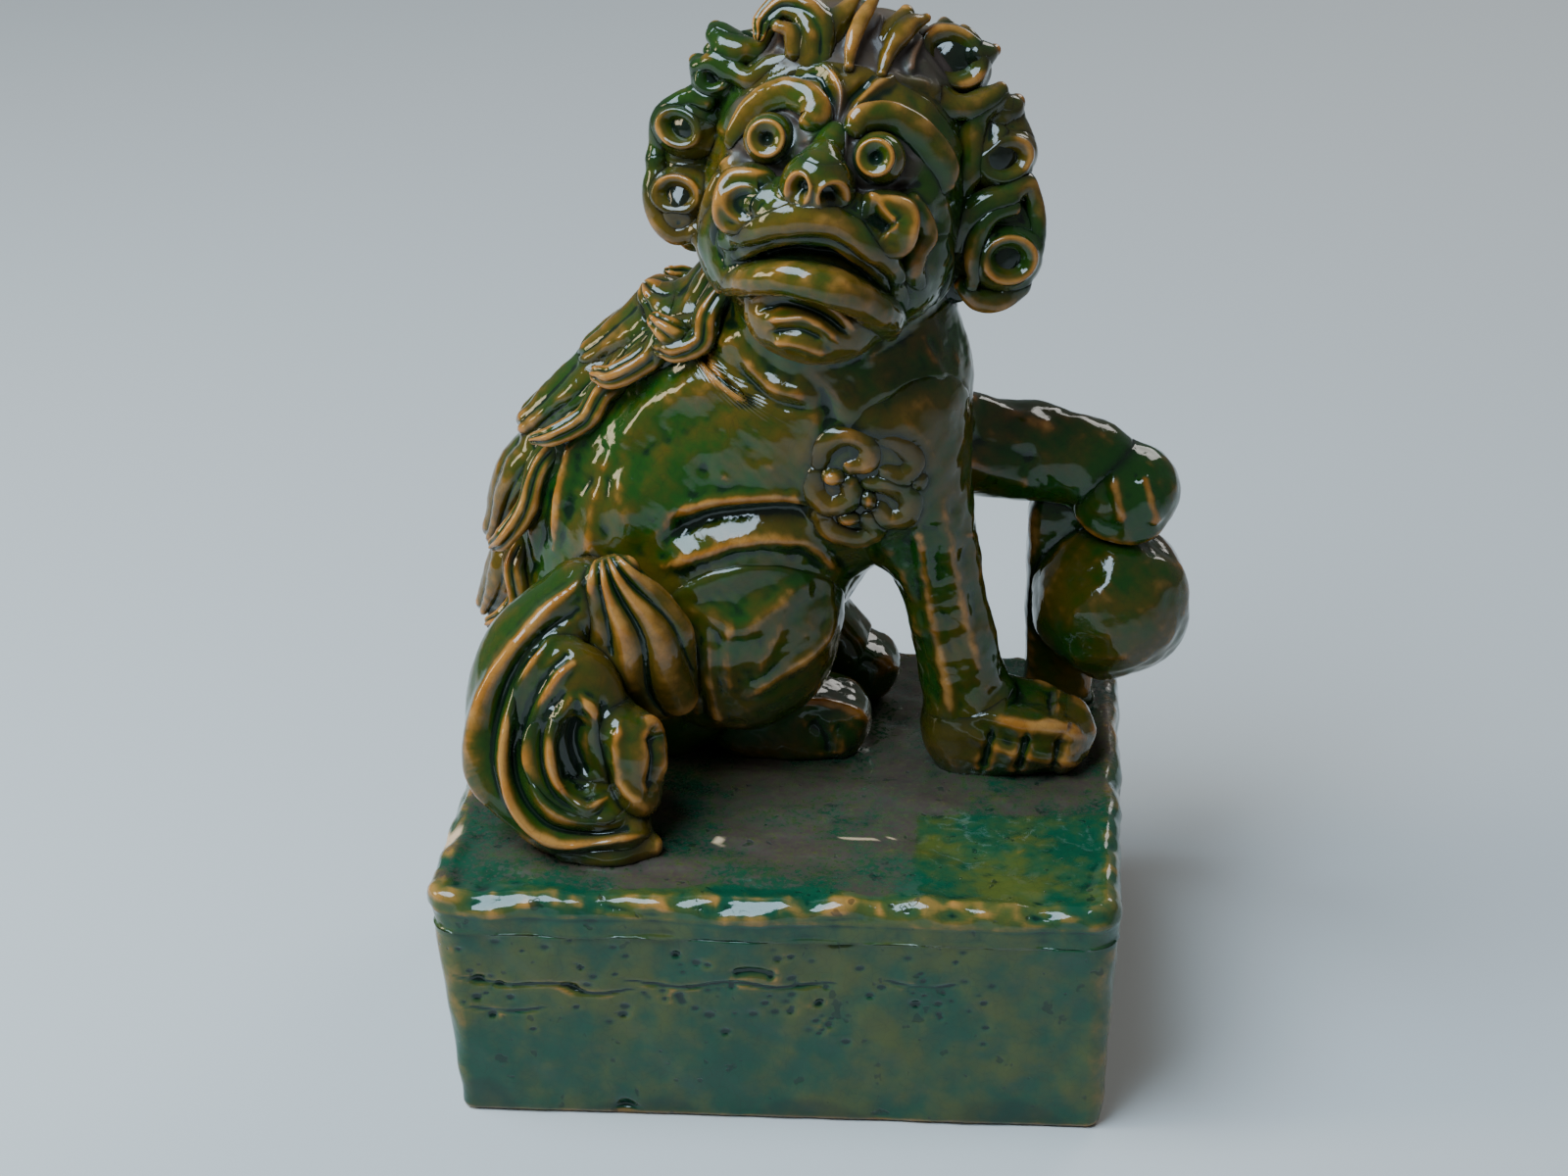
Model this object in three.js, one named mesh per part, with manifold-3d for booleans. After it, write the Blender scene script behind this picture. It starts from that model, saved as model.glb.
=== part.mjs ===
// A green-glazed foo dog (guardian lion) seated on a slab-built plinth, one forepaw on a ball.
// It is built as a potter builds it. The plinth is five slabs, open underneath. The body and head
// are hollow shells that share one air space, vented down through the plinth top. Legs, ball,
// tail, features and mane curls are solid clay, luted on one after the other.
// Millimetres, +Z up. The lion looks along +X and turns its head towards -Y.
import * as THREE from "three";
import { mergeVertices } from "three/addons/utils/BufferGeometryUtils.js";
import Module from "manifold-3d";

const wasm = await Module();
wasm.setup();

// ---- Driving dimensions ----
const plinth_width = 150; // along X, at the top
const plinth_depth = 116; // along Y, at the top
const plinth_height = 58;
const plinth_draw_in = 4; // how far each side leans in at the foot
const plinth_corner = 7; // radius of the upright corners
const slab_thickness = 9;
const lion_height = 188; // plinth top to the tip of the crest
const body_wall = 7;
const head_wall = 6;
const vent_radius = 7; // air way from the body down into the plinth
const head_half_width = 27;
const head_half_height = 32;
const head_half_depth = 28;
const leg_radius = 9.5; // a foreleg just above the paw
const ball_radius = 18.5;
const eye_radius = 5.5;
const curl_radius = 8.5; // an ordinary mane curl
const lute_gap = 0.3; // the slip joint left between two clay pieces

// The lion's own stations are written for this height and stretch with lion_height.
const modelled_height = 188;
const stretch = lion_height / modelled_height;

// ---- Solids ----
const colours = { glaze: 0x2f5a2a, amber: 0x8a6a2c, plinth: 0x24503c };

function glaze(colour) {
  return new THREE.MeshStandardMaterial({ color: colour, roughness: 0.15, metalness: 0 });
}

// A closed three.js geometry as a manifold solid, with doubled points merged and faces out.
function solid(geometry) {
  const points = new THREE.BufferGeometry();
  points.setAttribute("position", geometry.getAttribute("position"));
  if (geometry.index) points.setIndex(geometry.index);
  const merged = mergeVertices(points, 1e-3);
  const kept = [];
  const index = merged.index.array;
  for (let i = 0; i < index.length; i += 3) {
    const [a, b, c] = [index[i], index[i + 1], index[i + 2]];
    if (a !== b && b !== c && c !== a) kept.push(a, b, c);
  }
  const vertProperties = merged.getAttribute("position").array;
  const build = (triVerts) =>
    new wasm.Manifold(new wasm.Mesh({ numProp: 3, vertProperties, triVerts }));
  const made = build(new Uint32Array(kept));
  return made.volume() > 0 ? made : build(new Uint32Array(kept.reverse()));
}

function geometryOf(body) {
  const mesh = body.getMesh();
  const position = new THREE.BufferAttribute(new Float32Array(mesh.vertProperties), 3);
  const geometry = new THREE.BufferGeometry().setAttribute("position", position);
  geometry.setIndex(new THREE.BufferAttribute(mesh.triVerts, 1));
  const flat = geometry.toNonIndexed();
  flat.computeVertexNormals();
  return flat;
}

function join(...bodies) {
  return bodies.reduce((whole, body) => whole.add(body));
}

// Trimming a piece to its neighbours can leave offcuts, and a potter keeps the piece itself.
function mainBody(body) {
  return body.decompose().reduce((best, part) => (part.volume() > best.volume() ? part : best));
}

// ---- Places ----
// A place on the lion: x and y from the plinth's middle, z up from the plinth top.
function place(x, y, z) {
  return new THREE.Vector3(x * stretch, y * stretch, plinth_height + z * stretch);
}

const head_centre = place(12, 5, 140);
const head_drop = -3; // the skull hangs this far below the middle of the face
const face_tilt = THREE.MathUtils.degToRad(14); // the face looks up
const face_lean = THREE.MathUtils.degToRad(9); // the crown leans towards the lion's left
const face_turn = THREE.MathUtils.degToRad(3); // and back a little towards the tail
const head_turn = new THREE.Matrix4()
  .makeRotationZ(face_turn)
  .multiply(new THREE.Matrix4().makeRotationX(-face_tilt))
  .multiply(new THREE.Matrix4().makeRotationY(face_lean));

// A place on the head: right and up as one faces it, and out of the face, from the head's middle.
function onHead(right, up, out) {
  const v = new THREE.Vector3(right, -out, up).multiplyScalar(stretch);
  return v.applyMatrix4(head_turn).add(head_centre);
}

function headDirection(right, up, out) {
  return new THREE.Vector3(right, -out, up).applyMatrix4(head_turn).normalize();
}

// ---- Shapes ----
// An egg: a sphere scaled to three half-widths, turned and placed.
function egg(centre, half, turn = null, grow = 0, sides = 12, rings = 8) {
  const geometry = new THREE.SphereGeometry(1, sides, rings);
  const size = half.map((h) => h * stretch + grow);
  geometry.scale(size[0], size[1], size[2]);
  if (turn) geometry.applyMatrix4(turn);
  geometry.translate(centre.x, centre.y, centre.z);
  return solid(geometry);
}

// A rolled limb: a lathed capsule bent along a smooth curve. Each station is a point with a
// half-width in the plane of the bend and a half-width along `side`, and both ends are round.
function limb(stations, side = [0, 1, 0], grow = 0, sides = 10, steps = 2) {
  const count = (stations.length - 1) * steps;
  const curve = new THREE.CatmullRomCurve3(stations.map((s) => s.at));
  const cap = [0, 1 / 4].map((f) => f * Math.PI);
  const outline = cap.map((a) => new THREE.Vector2(Math.sin(a), -Math.cos(a)));
  for (let i = 0; i <= count; i++) outline.push(new THREE.Vector2(1, i));
  for (const a of [...cap].reverse()) {
    outline.push(new THREE.Vector2(Math.sin(a), count + Math.cos(a)));
  }
  outline[0].x = 0;
  outline[outline.length - 1].x = 0;
  const geometry = new THREE.LatheGeometry(outline, sides);
  const position = geometry.getAttribute("position");
  const sideways = new THREE.Vector3(...side);
  for (let i = 0; i < position.count; i++) {
    const height = position.getY(i);
    const along = THREE.MathUtils.clamp(height / count, 0, 1);
    const past = height < 0 ? height : Math.max(0, height - count);
    const span = along * (stations.length - 1);
    const k = Math.min(Math.floor(span), stations.length - 2);
    const wide = THREE.MathUtils.lerp(stations[k].wide, stations[k + 1].wide, span - k);
    const deep = THREE.MathUtils.lerp(stations[k].deep, stations[k + 1].deep, span - k);
    const tangent = curve.getTangent(along);
    const across = sideways.clone().addScaledVector(tangent, -sideways.dot(tangent)).normalize();
    const normal = new THREE.Vector3().crossVectors(across, tangent);
    const point = curve
      .getPoint(along)
      .addScaledVector(tangent, past * (Math.min(wide, deep) * stretch + grow))
      .addScaledVector(normal, position.getX(i) * (wide * stretch + grow))
      .addScaledVector(across, position.getZ(i) * (deep * stretch + grow));
    position.setXYZ(i, point.x, point.y, point.z);
  }
  return solid(geometry);
}

function station(at, wide, deep = wide) {
  return { at, wide, deep };
}

// A snail curl: a lathed dish with a fat rolled rim round a hollow, set along a direction.
function snail(centre, outward, radius, height, grow = 0, sides = 10) {
  const r = radius * stretch + grow;
  const h = height * stretch + grow;
  const hollow = grow > 0 ? 1 : 0.5;
  const outline = [
    [0, -h],
    [r * 0.86, -h * 0.9],
    [r, h * 0.25],
    [r * 0.72, h],
    [r * 0.42, h * (0.5 + hollow / 2)],
    [0, h * hollow],
  ].map(([x, y]) => new THREE.Vector2(x, y));
  const geometry = new THREE.LatheGeometry(outline, sides);
  const turn = new THREE.Quaternion().setFromUnitVectors(new THREE.Vector3(0, 1, 0), outward);
  geometry.applyQuaternion(turn);
  geometry.translate(centre.x, centre.y, centre.z);
  return solid(geometry);
}

// A peg from one point towards another, for holes and air ways.
function peg(from, to, radius, sides = 12) {
  const axis = new THREE.Vector3().subVectors(to, from);
  const geometry = new THREE.CylinderGeometry(radius, radius, axis.length(), sides);
  geometry.translate(0, axis.length() / 2, 0);
  const up = new THREE.Vector3(0, 1, 0);
  geometry.applyQuaternion(new THREE.Quaternion().setFromUnitVectors(up, axis.normalize()));
  geometry.translate(from.x, from.y, from.z);
  return solid(geometry);
}

// ---- Plinth ----
// A block with the plinth's rounded outline and leaning sides, pulled in all round by `inset`.
function plinthBlock(inset, low, high) {
  const w = plinth_width / 2 - inset;
  const d = plinth_depth / 2 - inset;
  const r = Math.max(plinth_corner - inset, 1);
  const outline = new THREE.Shape();
  outline.absarc(w - r, d - r, r, 0, Math.PI / 2);
  outline.absarc(-w + r, d - r, r, Math.PI / 2, Math.PI);
  outline.absarc(-w + r, -d + r, r, Math.PI, 1.5 * Math.PI);
  outline.absarc(w - r, -d + r, r, 1.5 * Math.PI, 2 * Math.PI);
  const settings = { depth: high - low, bevelEnabled: false, curveSegments: 5 };
  const geometry = new THREE.ExtrudeGeometry(outline, settings);
  geometry.translate(0, 0, low);
  const position = geometry.getAttribute("position");
  for (let i = 0; i < position.count; i++) {
    const lean = plinth_draw_in * (1 - position.getZ(i) / plinth_height);
    position.setX(i, position.getX(i) * (1 - lean / w));
    position.setY(i, position.getY(i) * (1 - lean / d));
  }
  return solid(geometry);
}

function box(low, high) {
  const size = high.map((v, i) => v - low[i]);
  const geometry = new THREE.BoxGeometry(...size);
  geometry.translate(low[0] + size[0] / 2, low[1] + size[1] / 2, low[2] + size[2] / 2);
  return solid(geometry);
}

const slab_top = plinth_height;
const slab_under = plinth_height - slab_thickness;
const body_foot = place(-30, 20, 0); // the middle of the body's footprint

function topSlab(grow) {
  return plinthBlock(-grow, slab_under - grow, slab_top + grow);
}

// The side wall, and the stretch of it that one slab takes.
function sideWall() {
  const top = slab_under - lute_gap;
  return plinthBlock(0, 0, top).subtract(plinthBlock(slab_thickness, -1, top + 1));
}

const far = plinth_width + plinth_depth;
const slab_return = 1.5; // how far the long slabs turn the corner past the wall
const inner_front = plinth_depth / 2 - slab_thickness - plinth_draw_in - slab_return;

function longSlab(side) {
  const y = [side * inner_front, side * far].sort((a, b) => a - b);
  return sideWall().intersect(box([-far, y[0], -far], [far, y[1], far]));
}

function endSlab(side) {
  const x = [0, side * far].sort((a, b) => a - b);
  const reach = inner_front - lute_gap;
  return sideWall().intersect(box([x[0], -reach, -far], [x[1], reach, far]));
}

// ---- Body ----
// The body's stations run from the rump up the spine and into the neck.
function bodyStations(less = 0) {
  const thin = less / stretch;
  return [
    station(place(-35, 20, 24), 30 - thin, 28 - thin),
    station(place(-24, 19, 50), 38 - thin, 29 - thin),
    station(place(-7, 18, 73), 36 - thin, 28 - thin),
    station(place(8, 16, 92), 33 - thin, 26 - thin),
    station(place(11, 13, 116), 24 - thin, 21 - thin),
  ];
}

function bodyForm(grow) {
  return limb(bodyStations(), [0, 1, 0], grow, 16, 2);
}

// The air space follows the body a wall inside it, and opens at the neck and through the vent.
function bodyHollow() {
  const inside = limb(bodyStations(body_wall), [0, 1, 0], 0, 14, 2);
  const neck = peg(place(10, 13, 105), place(12, 11, 160), 12 * stretch);
  const floor = box([-far, -far, -far], [far, far, slab_top + body_wall]);
  return join(inside.subtract(floor), neck, vent());
}

function vent() {
  const low = new THREE.Vector3(body_foot.x, body_foot.y, slab_under - 1);
  const high = new THREE.Vector3(body_foot.x, body_foot.y, slab_top + 2 * body_wall);
  return peg(low, high, vent_radius);
}

// ---- Head ----
const head_half = [head_half_width, head_half_depth, head_half_height];

function headForm(grow) {
  return egg(onHead(0, head_drop, 0), head_half, head_turn, grow, 16, 10);
}

function headHollow() {
  const half = head_half.map((h) => h - head_wall / stretch);
  const throat = peg(place(10, 12, 100), onHead(0, head_drop, 0), 12 * stretch);
  return join(egg(onHead(0, head_drop, 0), half, head_turn), throat);
}

// How far out of the face the skull's skin lies at a place on it.
function skin(right, up) {
  const u = right / head_half_width;
  const v = (up - head_drop) / head_half_height;
  return head_half_depth * Math.sqrt(Math.max(0.04, 1 - u * u - v * v));
}

function faceStation(right, up, lift, wide, deep = wide) {
  return station(onHead(right, up, skin(right, up) + lift), wide, deep);
}

function muzzle(grow) {
  return egg(onHead(-1, -8, skin(-1, -8) - 3), [18, 9, 10], head_turn, grow);
}

function nose(grow) {
  const lift = skin(-2, 0) + 4;
  const bridge = egg(onHead(-2, 1, lift), [8.5, 7, 6], head_turn, grow);
  if (grow > 0) return bridge;
  const nostril = (side) =>
    peg(onHead(-2 + side * 4.3, -1, lift + 4), onHead(-2 + side * 4.3, -1, lift + 20), 1.8, 8);
  return bridge.subtract(nostril(-1)).subtract(nostril(1));
}

function whiskerPad(side) {
  const right = -1 + side * 15.5;
  return (grow) =>
    egg(onHead(right, -6, skin(right, -6) + 0.5), [8, 6.5, 8], head_turn, grow, 10, 7);
}

function lowerJaw(grow) {
  const lip = limb(
    [
      faceStation(-19, -26, 0, 5),
      faceStation(-9, -20, 3, 6),
      faceStation(0, -18.5, 4, 6.5),
      faceStation(10, -20, 3, 6),
      faceStation(21, -25, 0, 5),
    ],
    headDirection(0, 0, 1).toArray(),
    grow,
  );
  const chin = egg(onHead(1, -29, 14), [17, 11, 9], head_turn, grow, 12, 7);
  return join(lip, chin);
}

function eyeball(side) {
  const right = -1 + side * 12.5;
  const lift = skin(right, 8.5) + 0.5;
  const half = [eye_radius, eye_radius, eye_radius].map((r) => r / stretch);
  return (grow) => {
    const ball = egg(onHead(right, 8.5, lift), half, head_turn, grow);
    if (grow > 0) return ball;
    const front = lift + eye_radius - 2.2;
    return ball.subtract(peg(onHead(right, 8.5, front), onHead(right, 8.5, front + 10), 2, 8));
  };
}

function brow(side) {
  const u = (right) => side * right;
  return (grow) =>
    limb(
      [
        faceStation(u(3.5), 14, 1, 2.6),
        faceStation(u(10), 18.5, 1, 3.4),
        faceStation(u(18), 17, 0.5, 3.2),
        faceStation(u(24), 9, 0, 2.2),
      ],
      headDirection(0, 0, 1).toArray(),
      grow,
      8,
    );
}

function cheekFold(side) {
  return (grow) =>
    limb(
      [
        station(onHead(side * 25, 4, 9), 2.6),
        station(onHead(side * 27, -8, 10), 3.6),
        station(onHead(side * 24, -20, 10), 3.4),
        station(onHead(side * 18, -28, 11), 2.2),
      ],
      [0, 1, 0],
      grow,
      8,
    );
}

// ---- Mane ----
// Each snail curl is pressed on to the skull at an angle round the crown (0 over the left ear, 90
// at the top, 180 over the right ear) and an angle behind the ears. `lift` says how many curl
// radii its middle stands off the skin.
function curlAt({ angle, behind, lift, radius = curl_radius }) {
  const a = THREE.MathUtils.degToRad(angle);
  const b = THREE.MathUtils.degToRad(behind);
  const [right, up, out] = [Math.cos(a) * Math.cos(b), Math.sin(a) * Math.cos(b), -Math.sin(b)];
  const outward = headDirection(right, up, out);
  const centre = onHead(
    right * head_half_width,
    head_drop + up * head_half_height,
    out * head_half_depth,
  ).addScaledVector(outward, lift * radius * stretch);
  return (grow) => snail(centre, outward, radius, radius * 0.75, grow);
}

// A flame lock: a tapered roll that stands up off the crown and bends over at its tip.
function flame(right, out, tall, bend, root) {
  return (grow) =>
    limb(
      [
        station(onHead(right, 21, out), root),
        station(onHead(right * 1.1, 21 + tall * 0.45, out + 1), root * 0.8),
        station(onHead(right * 1.15 + bend, 21 + tall, out), root * 0.35),
      ],
      [0, 1, 0],
      grow,
      8,
    );
}

// ---- Spine ----
// A row of locks down the back. Each is rooted on the spine and curls off it at its lower end.
const spine_locks = 6;
const lock_length = 0.1; // as a share of the spine, either way from the lock's middle

// A place on the back: along the spine from the rump (0) to the neck (1), and off the skin.
function onSpine(along, off) {
  const stations = bodyStations();
  const curve = new THREE.CatmullRomCurve3(stations.map((s) => s.at));
  const clamped = THREE.MathUtils.clamp(along, 0, 1);
  const span = clamped * (stations.length - 1);
  const k = Math.min(Math.floor(span), stations.length - 2);
  const wide = THREE.MathUtils.lerp(stations[k].wide, stations[k + 1].wide, span - k);
  const tangent = curve.getTangent(clamped);
  const outward = new THREE.Vector3(-tangent.z, 0, tangent.x).normalize();
  const point = curve.getPoint(clamped);
  const reach = (wide + off) * stretch;
  return point.addScaledVector(outward, reach).addScaledVector(tangent, (along - clamped) * 150);
}

function spineLock(number) {
  const middle = THREE.MathUtils.lerp(0.9, 0.06, number / (spine_locks - 1));
  return (grow) =>
    limb(
      [
        station(onSpine(middle + lock_length, 0), 4, 8),
        station(onSpine(middle, 3), 5.5, 11),
        station(onSpine(middle - lock_length, 6.5), 3.2, 6),
      ],
      [0, 1, 0],
      grow,
      8,
    );
}

// ---- Legs ----
function thigh(side) {
  const y = 20 + side * 18;
  return (grow) => egg(place(-12, y, 38), [24, 16, 27], null, grow);
}

const right_hind_foot = (grow) =>
  limb([station(place(-9, 14, 9), 10, 9), station(place(8, 14, 9), 10, 10)], [0, 1, 0], grow);

const left_hind_foot = (grow) =>
  limb(
    [
      station(place(2, 37, 20), 9, 8),
      station(place(10, 37, 10), 9, 9),
      station(place(16, 37, 8), 7, 8),
    ],
    [0, 1, 0],
    grow,
  );

const leg = leg_radius / stretch;

const right_foreleg = (grow) =>
  limb(
    [
      station(place(22, 4, 88), leg + 7, leg + 5),
      station(place(28, 5, 68), leg + 4, leg + 3),
      station(place(34, 7, 46), leg, leg),
      station(place(38, 8, 26), leg, leg),
      station(place(41, 8, 12), leg + 1, leg),
    ],
    [0, 1, 0],
    grow,
  );

const right_forepaw = (grow) =>
  limb(
    [
      station(place(40, 8, 9), leg + 2, leg + 1),
      station(place(54, 8, 9), leg + 1, leg + 2),
      station(place(61, 8, 7), leg - 1, leg + 1),
    ],
    [0, 1, 0],
    grow,
  );

const left_foreleg = (grow) =>
  limb(
    [
      station(place(26, 27, 74), leg + 4, leg + 3),
      station(place(42, 33, 67), leg + 2, leg + 1),
      station(place(56, 35, 65), leg + 2, leg),
      station(place(68, 35, 62), leg + 1, leg),
    ],
    [0, 1, 0],
    grow,
  );

// The raised paw droops over the ball, and the ball hangs from it, level with the paw's middle.
const paw_middle = place(75, 34, 56);
const paw_half = [12.5, 12, 11.5];
const paw_sink = 3; // how far the paw presses into the ball

const left_forepaw = (grow) => egg(paw_middle, paw_half, null, grow);

const ball_centre = new THREE.Vector3(
  paw_middle.x - 3 * stretch,
  paw_middle.y - 1 * stretch,
  paw_middle.z - paw_half[2] * stretch - ball_radius + paw_sink,
);

const ball = (grow) => {
  const half = [ball_radius, ball_radius, ball_radius].map((r) => r / stretch);
  return egg(ball_centre, half, null, grow, 16, 10);
};

// The post behind the ball props up both the ball and the raised leg.
const post_half = 7.5;

const ball_post = (grow) => {
  const x = ball_centre.x - ball_radius * 0.62;
  const y = ball_centre.y + ball_radius * 0.42;
  const foot = new THREE.Vector3(x, y, plinth_height);
  const top = new THREE.Vector3(x, y, plinth_height + 56 * stretch);
  return limb([station(foot, post_half), station(top, post_half)], [0, 1, 0], grow, 10, 1);
};

function elbowTuft(grow) {
  const lock = (number) =>
    limb(
      [
        station(place(11 + number * 5, -6, 84 - number * 5), 3.4),
        station(place(13 + number * 4, -10, 74 - number * 5), 4),
        station(place(17 + number * 3, -8, 66 - number * 5), 2.6),
      ],
      [0, 1, 0],
      grow,
      8,
    );
  return join(lock(0), lock(1), lock(2));
}

// ---- Tail ----
// The tail comes round on to the near corner of the plinth: a fan lobe above, a broad lock that
// sweeps round below it, an inner crescent, and the tight curl at the heart of the swirl.
const tail_lobe = (grow) =>
  limb(
    [
      station(place(-26, -12, 26), 9, 7),
      station(place(-31, -17, 42), 13, 8),
      station(place(-35, -18, 56), 7, 6),
    ],
    [0, 1, 0],
    grow,
  );

const tail_swirl = (grow) =>
  limb(
    [
      station(place(-44, -12, 50), 9, 9),
      station(place(-58, -19, 38), 11, 11),
      station(place(-62, -27, 20), 10, 13),
      station(place(-52, -33, 8), 9, 12),
      station(place(-36, -35, 4), 7, 9),
    ],
    [0, 1, 0],
    grow,
  );

const tail_crescent = (grow) =>
  limb(
    [
      station(place(-42, -22, 36), 6, 8),
      station(place(-50, -27, 26), 6, 9),
      station(place(-48, -32, 14), 6, 9),
      station(place(-38, -34, 9), 5, 7),
    ],
    [0, 1, 0],
    grow,
    8,
  );

const tail_curl = (grow) =>
  limb(
    [
      station(place(-37, -26, 28), 6, 8),
      station(place(-30, -28, 22), 8, 9),
      station(place(-31, -31, 12), 6, 7),
    ],
    [0, 1, 0],
    grow,
    8,
  );

// ---- Assembly ----
// Pieces in the order that they are luted on. Each is trimmed to all that stand before it.
const order = [];

function piece(name, form, colour, hollow = null) {
  order.push({ name, form, colour, hollow });
}

piece("plinth_top_slab", topSlab, colours.plinth, vent);
piece("torso_shell", bodyForm, colours.glaze, bodyHollow);
piece("right_thigh", thigh(-1), colours.glaze);
piece("left_thigh", thigh(1), colours.glaze);
piece("right_hind_foot", right_hind_foot, colours.glaze);
piece("left_hind_foot", left_hind_foot, colours.amber);
piece("right_foreleg", right_foreleg, colours.glaze);
piece("right_forepaw", right_forepaw, colours.glaze);
piece("left_foreleg", left_foreleg, colours.glaze);
piece("left_forepaw", left_forepaw, colours.glaze);
piece("ball", ball, colours.glaze);
piece("ball_post", ball_post, colours.glaze);
piece("elbow_tuft", elbowTuft, colours.amber);
piece("tail_lobe", tail_lobe, colours.amber);
piece("tail_swirl", tail_swirl, colours.glaze);
piece("tail_crescent", tail_crescent, colours.amber);
piece("tail_curl", tail_curl, colours.glaze);
piece("head_shell", headForm, colours.glaze, headHollow);
piece("muzzle", muzzle, colours.glaze);
piece("nose", nose, colours.amber);
piece("lower_jaw", lowerJaw, colours.amber);
for (const [name, side] of [["right", -1], ["left", 1]]) {
  piece(`${name}_whisker_pad`, whiskerPad(side), colours.amber);
  piece(`${name}_eyeball`, eyeball(side), colours.amber);
  piece(`${name}_brow`, brow(side), colours.amber);
  piece(`${name}_cheek_fold`, cheekFold(side), colours.amber);
}

// The front row frames the face, with flames over the brow; two more rows cover the back.
const front_curls = [
  { angle: -9, behind: 12, lift: 0.76, radius: 1.4 * curl_radius },
  { angle: 22, behind: 7, lift: 0.6, radius: 1.12 * curl_radius },
  { angle: 55, behind: 9, lift: 1 },
  { angle: 140, behind: 7, lift: 0.7 },
  { angle: 163, behind: 7, lift: 0.65 },
  { angle: 190, behind: 7, lift: 0.5 },
];
front_curls.forEach((curl, i) => {
  piece(`front_curl_${i + 1}`, curlAt(curl), i % 2 ? colours.glaze : colours.amber);
});
piece("crown_flame_1", flame(-14, 8, 15, -4, 6.5), colours.amber);
piece("crown_flame_2", flame(1, 9, 19, 2, 6), colours.glaze);
piece("crown_flame_3", flame(12, 7, 15, 3, 5.5), colours.amber);
const back_rows = [
  { angles: [100, 68, 36, 4, -28, 132, 164, 196], behind: 33, lift: 0.5 },
  { angles: [90, 18, 162, -54], behind: 62, lift: 0.4 },
];
let back_count = 0;
for (const { angles, behind, lift } of back_rows) {
  for (const angle of angles) {
    back_count += 1;
    const curl = curlAt({ angle, behind, lift, radius: 1.12 * curl_radius });
    piece(`back_curl_${back_count}`, curl, colours.glaze);
  }
}
for (let i = 0; i < spine_locks; i++) {
  piece(`spine_lock_${i + 1}`, spineLock(i), i % 2 ? colours.glaze : colours.amber);
}

function boxesMeet(a, b) {
  const [p, q] = [a.boundingBox(), b.boundingBox()];
  return p.min.every((low, i) => low < q.max[i] && q.min[i] < p.max[i]);
}

const statue = new THREE.Group();
const standing = [];

for (const { name, form, colour, hollow } of order) {
  let body = form(0);
  for (const earlier of standing) {
    if (boxesMeet(body, earlier)) body = body.subtract(earlier);
  }
  if (hollow) body = body.subtract(hollow());
  standing.push(form(lute_gap));
  const mesh = new THREE.Mesh(geometryOf(mainBody(body)), glaze(colour));
  mesh.name = name;
  statue.add(mesh);
}

const walls = {
  plinth_front_slab: longSlab(-1),
  plinth_back_slab: longSlab(1),
  plinth_left_slab: endSlab(-1),
  plinth_right_slab: endSlab(1),
};
for (const [name, body] of Object.entries(walls)) {
  const mesh = new THREE.Mesh(geometryOf(mainBody(body)), glaze(colours.plinth));
  mesh.name = name;
  statue.add(mesh);
}

// The part's origin is the middle of its footprint, at the foot of the plinth.
const extent = new THREE.Box3().setFromObject(statue);
const middle = extent.getCenter(new THREE.Vector3());
statue.position.set(-middle.x, -middle.y, -extent.min.z);

export default statue;
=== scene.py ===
# %% [markdown]
# # A glazed guardian lion on a slab plinth
# The real object is press-moulded and hand-built clay: a hollow body, rolled legs, snail curls
# luted on to a skull, and a thick lead glaze that pools dark in each hollow and thins to amber
# on each ridge. This lesson builds every clay piece as a surface worked out with numpy, welds
# neighbours with a soft fillet, and lets the glaze read how sharply the clay bends.

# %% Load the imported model
import math
import bpy
import numpy as np
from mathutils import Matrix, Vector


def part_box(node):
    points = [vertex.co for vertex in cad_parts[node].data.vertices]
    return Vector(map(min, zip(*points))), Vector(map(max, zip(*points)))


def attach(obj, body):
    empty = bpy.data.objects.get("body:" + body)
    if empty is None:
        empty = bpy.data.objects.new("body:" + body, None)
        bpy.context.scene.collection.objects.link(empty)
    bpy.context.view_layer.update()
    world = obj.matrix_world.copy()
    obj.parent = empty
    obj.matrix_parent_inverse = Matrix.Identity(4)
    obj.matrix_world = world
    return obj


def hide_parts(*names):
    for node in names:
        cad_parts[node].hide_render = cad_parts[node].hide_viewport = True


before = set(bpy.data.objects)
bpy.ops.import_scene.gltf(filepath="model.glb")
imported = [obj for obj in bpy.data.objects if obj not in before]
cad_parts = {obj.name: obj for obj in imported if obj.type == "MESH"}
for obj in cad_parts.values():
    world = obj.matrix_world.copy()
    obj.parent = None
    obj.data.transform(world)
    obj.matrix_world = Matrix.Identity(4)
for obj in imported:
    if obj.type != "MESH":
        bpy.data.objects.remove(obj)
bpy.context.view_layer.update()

print("clay pieces in the packed model:", len(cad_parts))

# %% [markdown]
# All shapes are worked out in millimetres, because a potter's sizes read better that way, and
# become metres when a mesh is made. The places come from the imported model: the plinth's
# middle, the height of its top, and from there every station of the lion.

# %% Where the plinth stands
MM = 0.001
plinth_low, plinth_high = (np.array(list(corner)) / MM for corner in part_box("plinth_top_slab"))
middle = (plinth_low + plinth_high) / 2
top_z = plinth_high[2]
half_w, half_d = (plinth_high - plinth_low)[:2] / 2
under_z = plinth_low[2]
print("plinth top at", round(float(top_z), 1), "mm, half sizes", round(float(half_w), 1), round(float(half_d), 1))


def place(x, y, z):
    """A point on the lion: x and y from the plinth's middle, z up from its top."""
    return np.array([middle[0] + x, middle[1] + y, top_z + z], float)

# %% [markdown]
# The head sits turned and tilted on the neck, so the face gets its own three directions:
# right and up as one faces it, and out of the face. A point on the head is the head's middle
# plus those three steps, turned with it.

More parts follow.
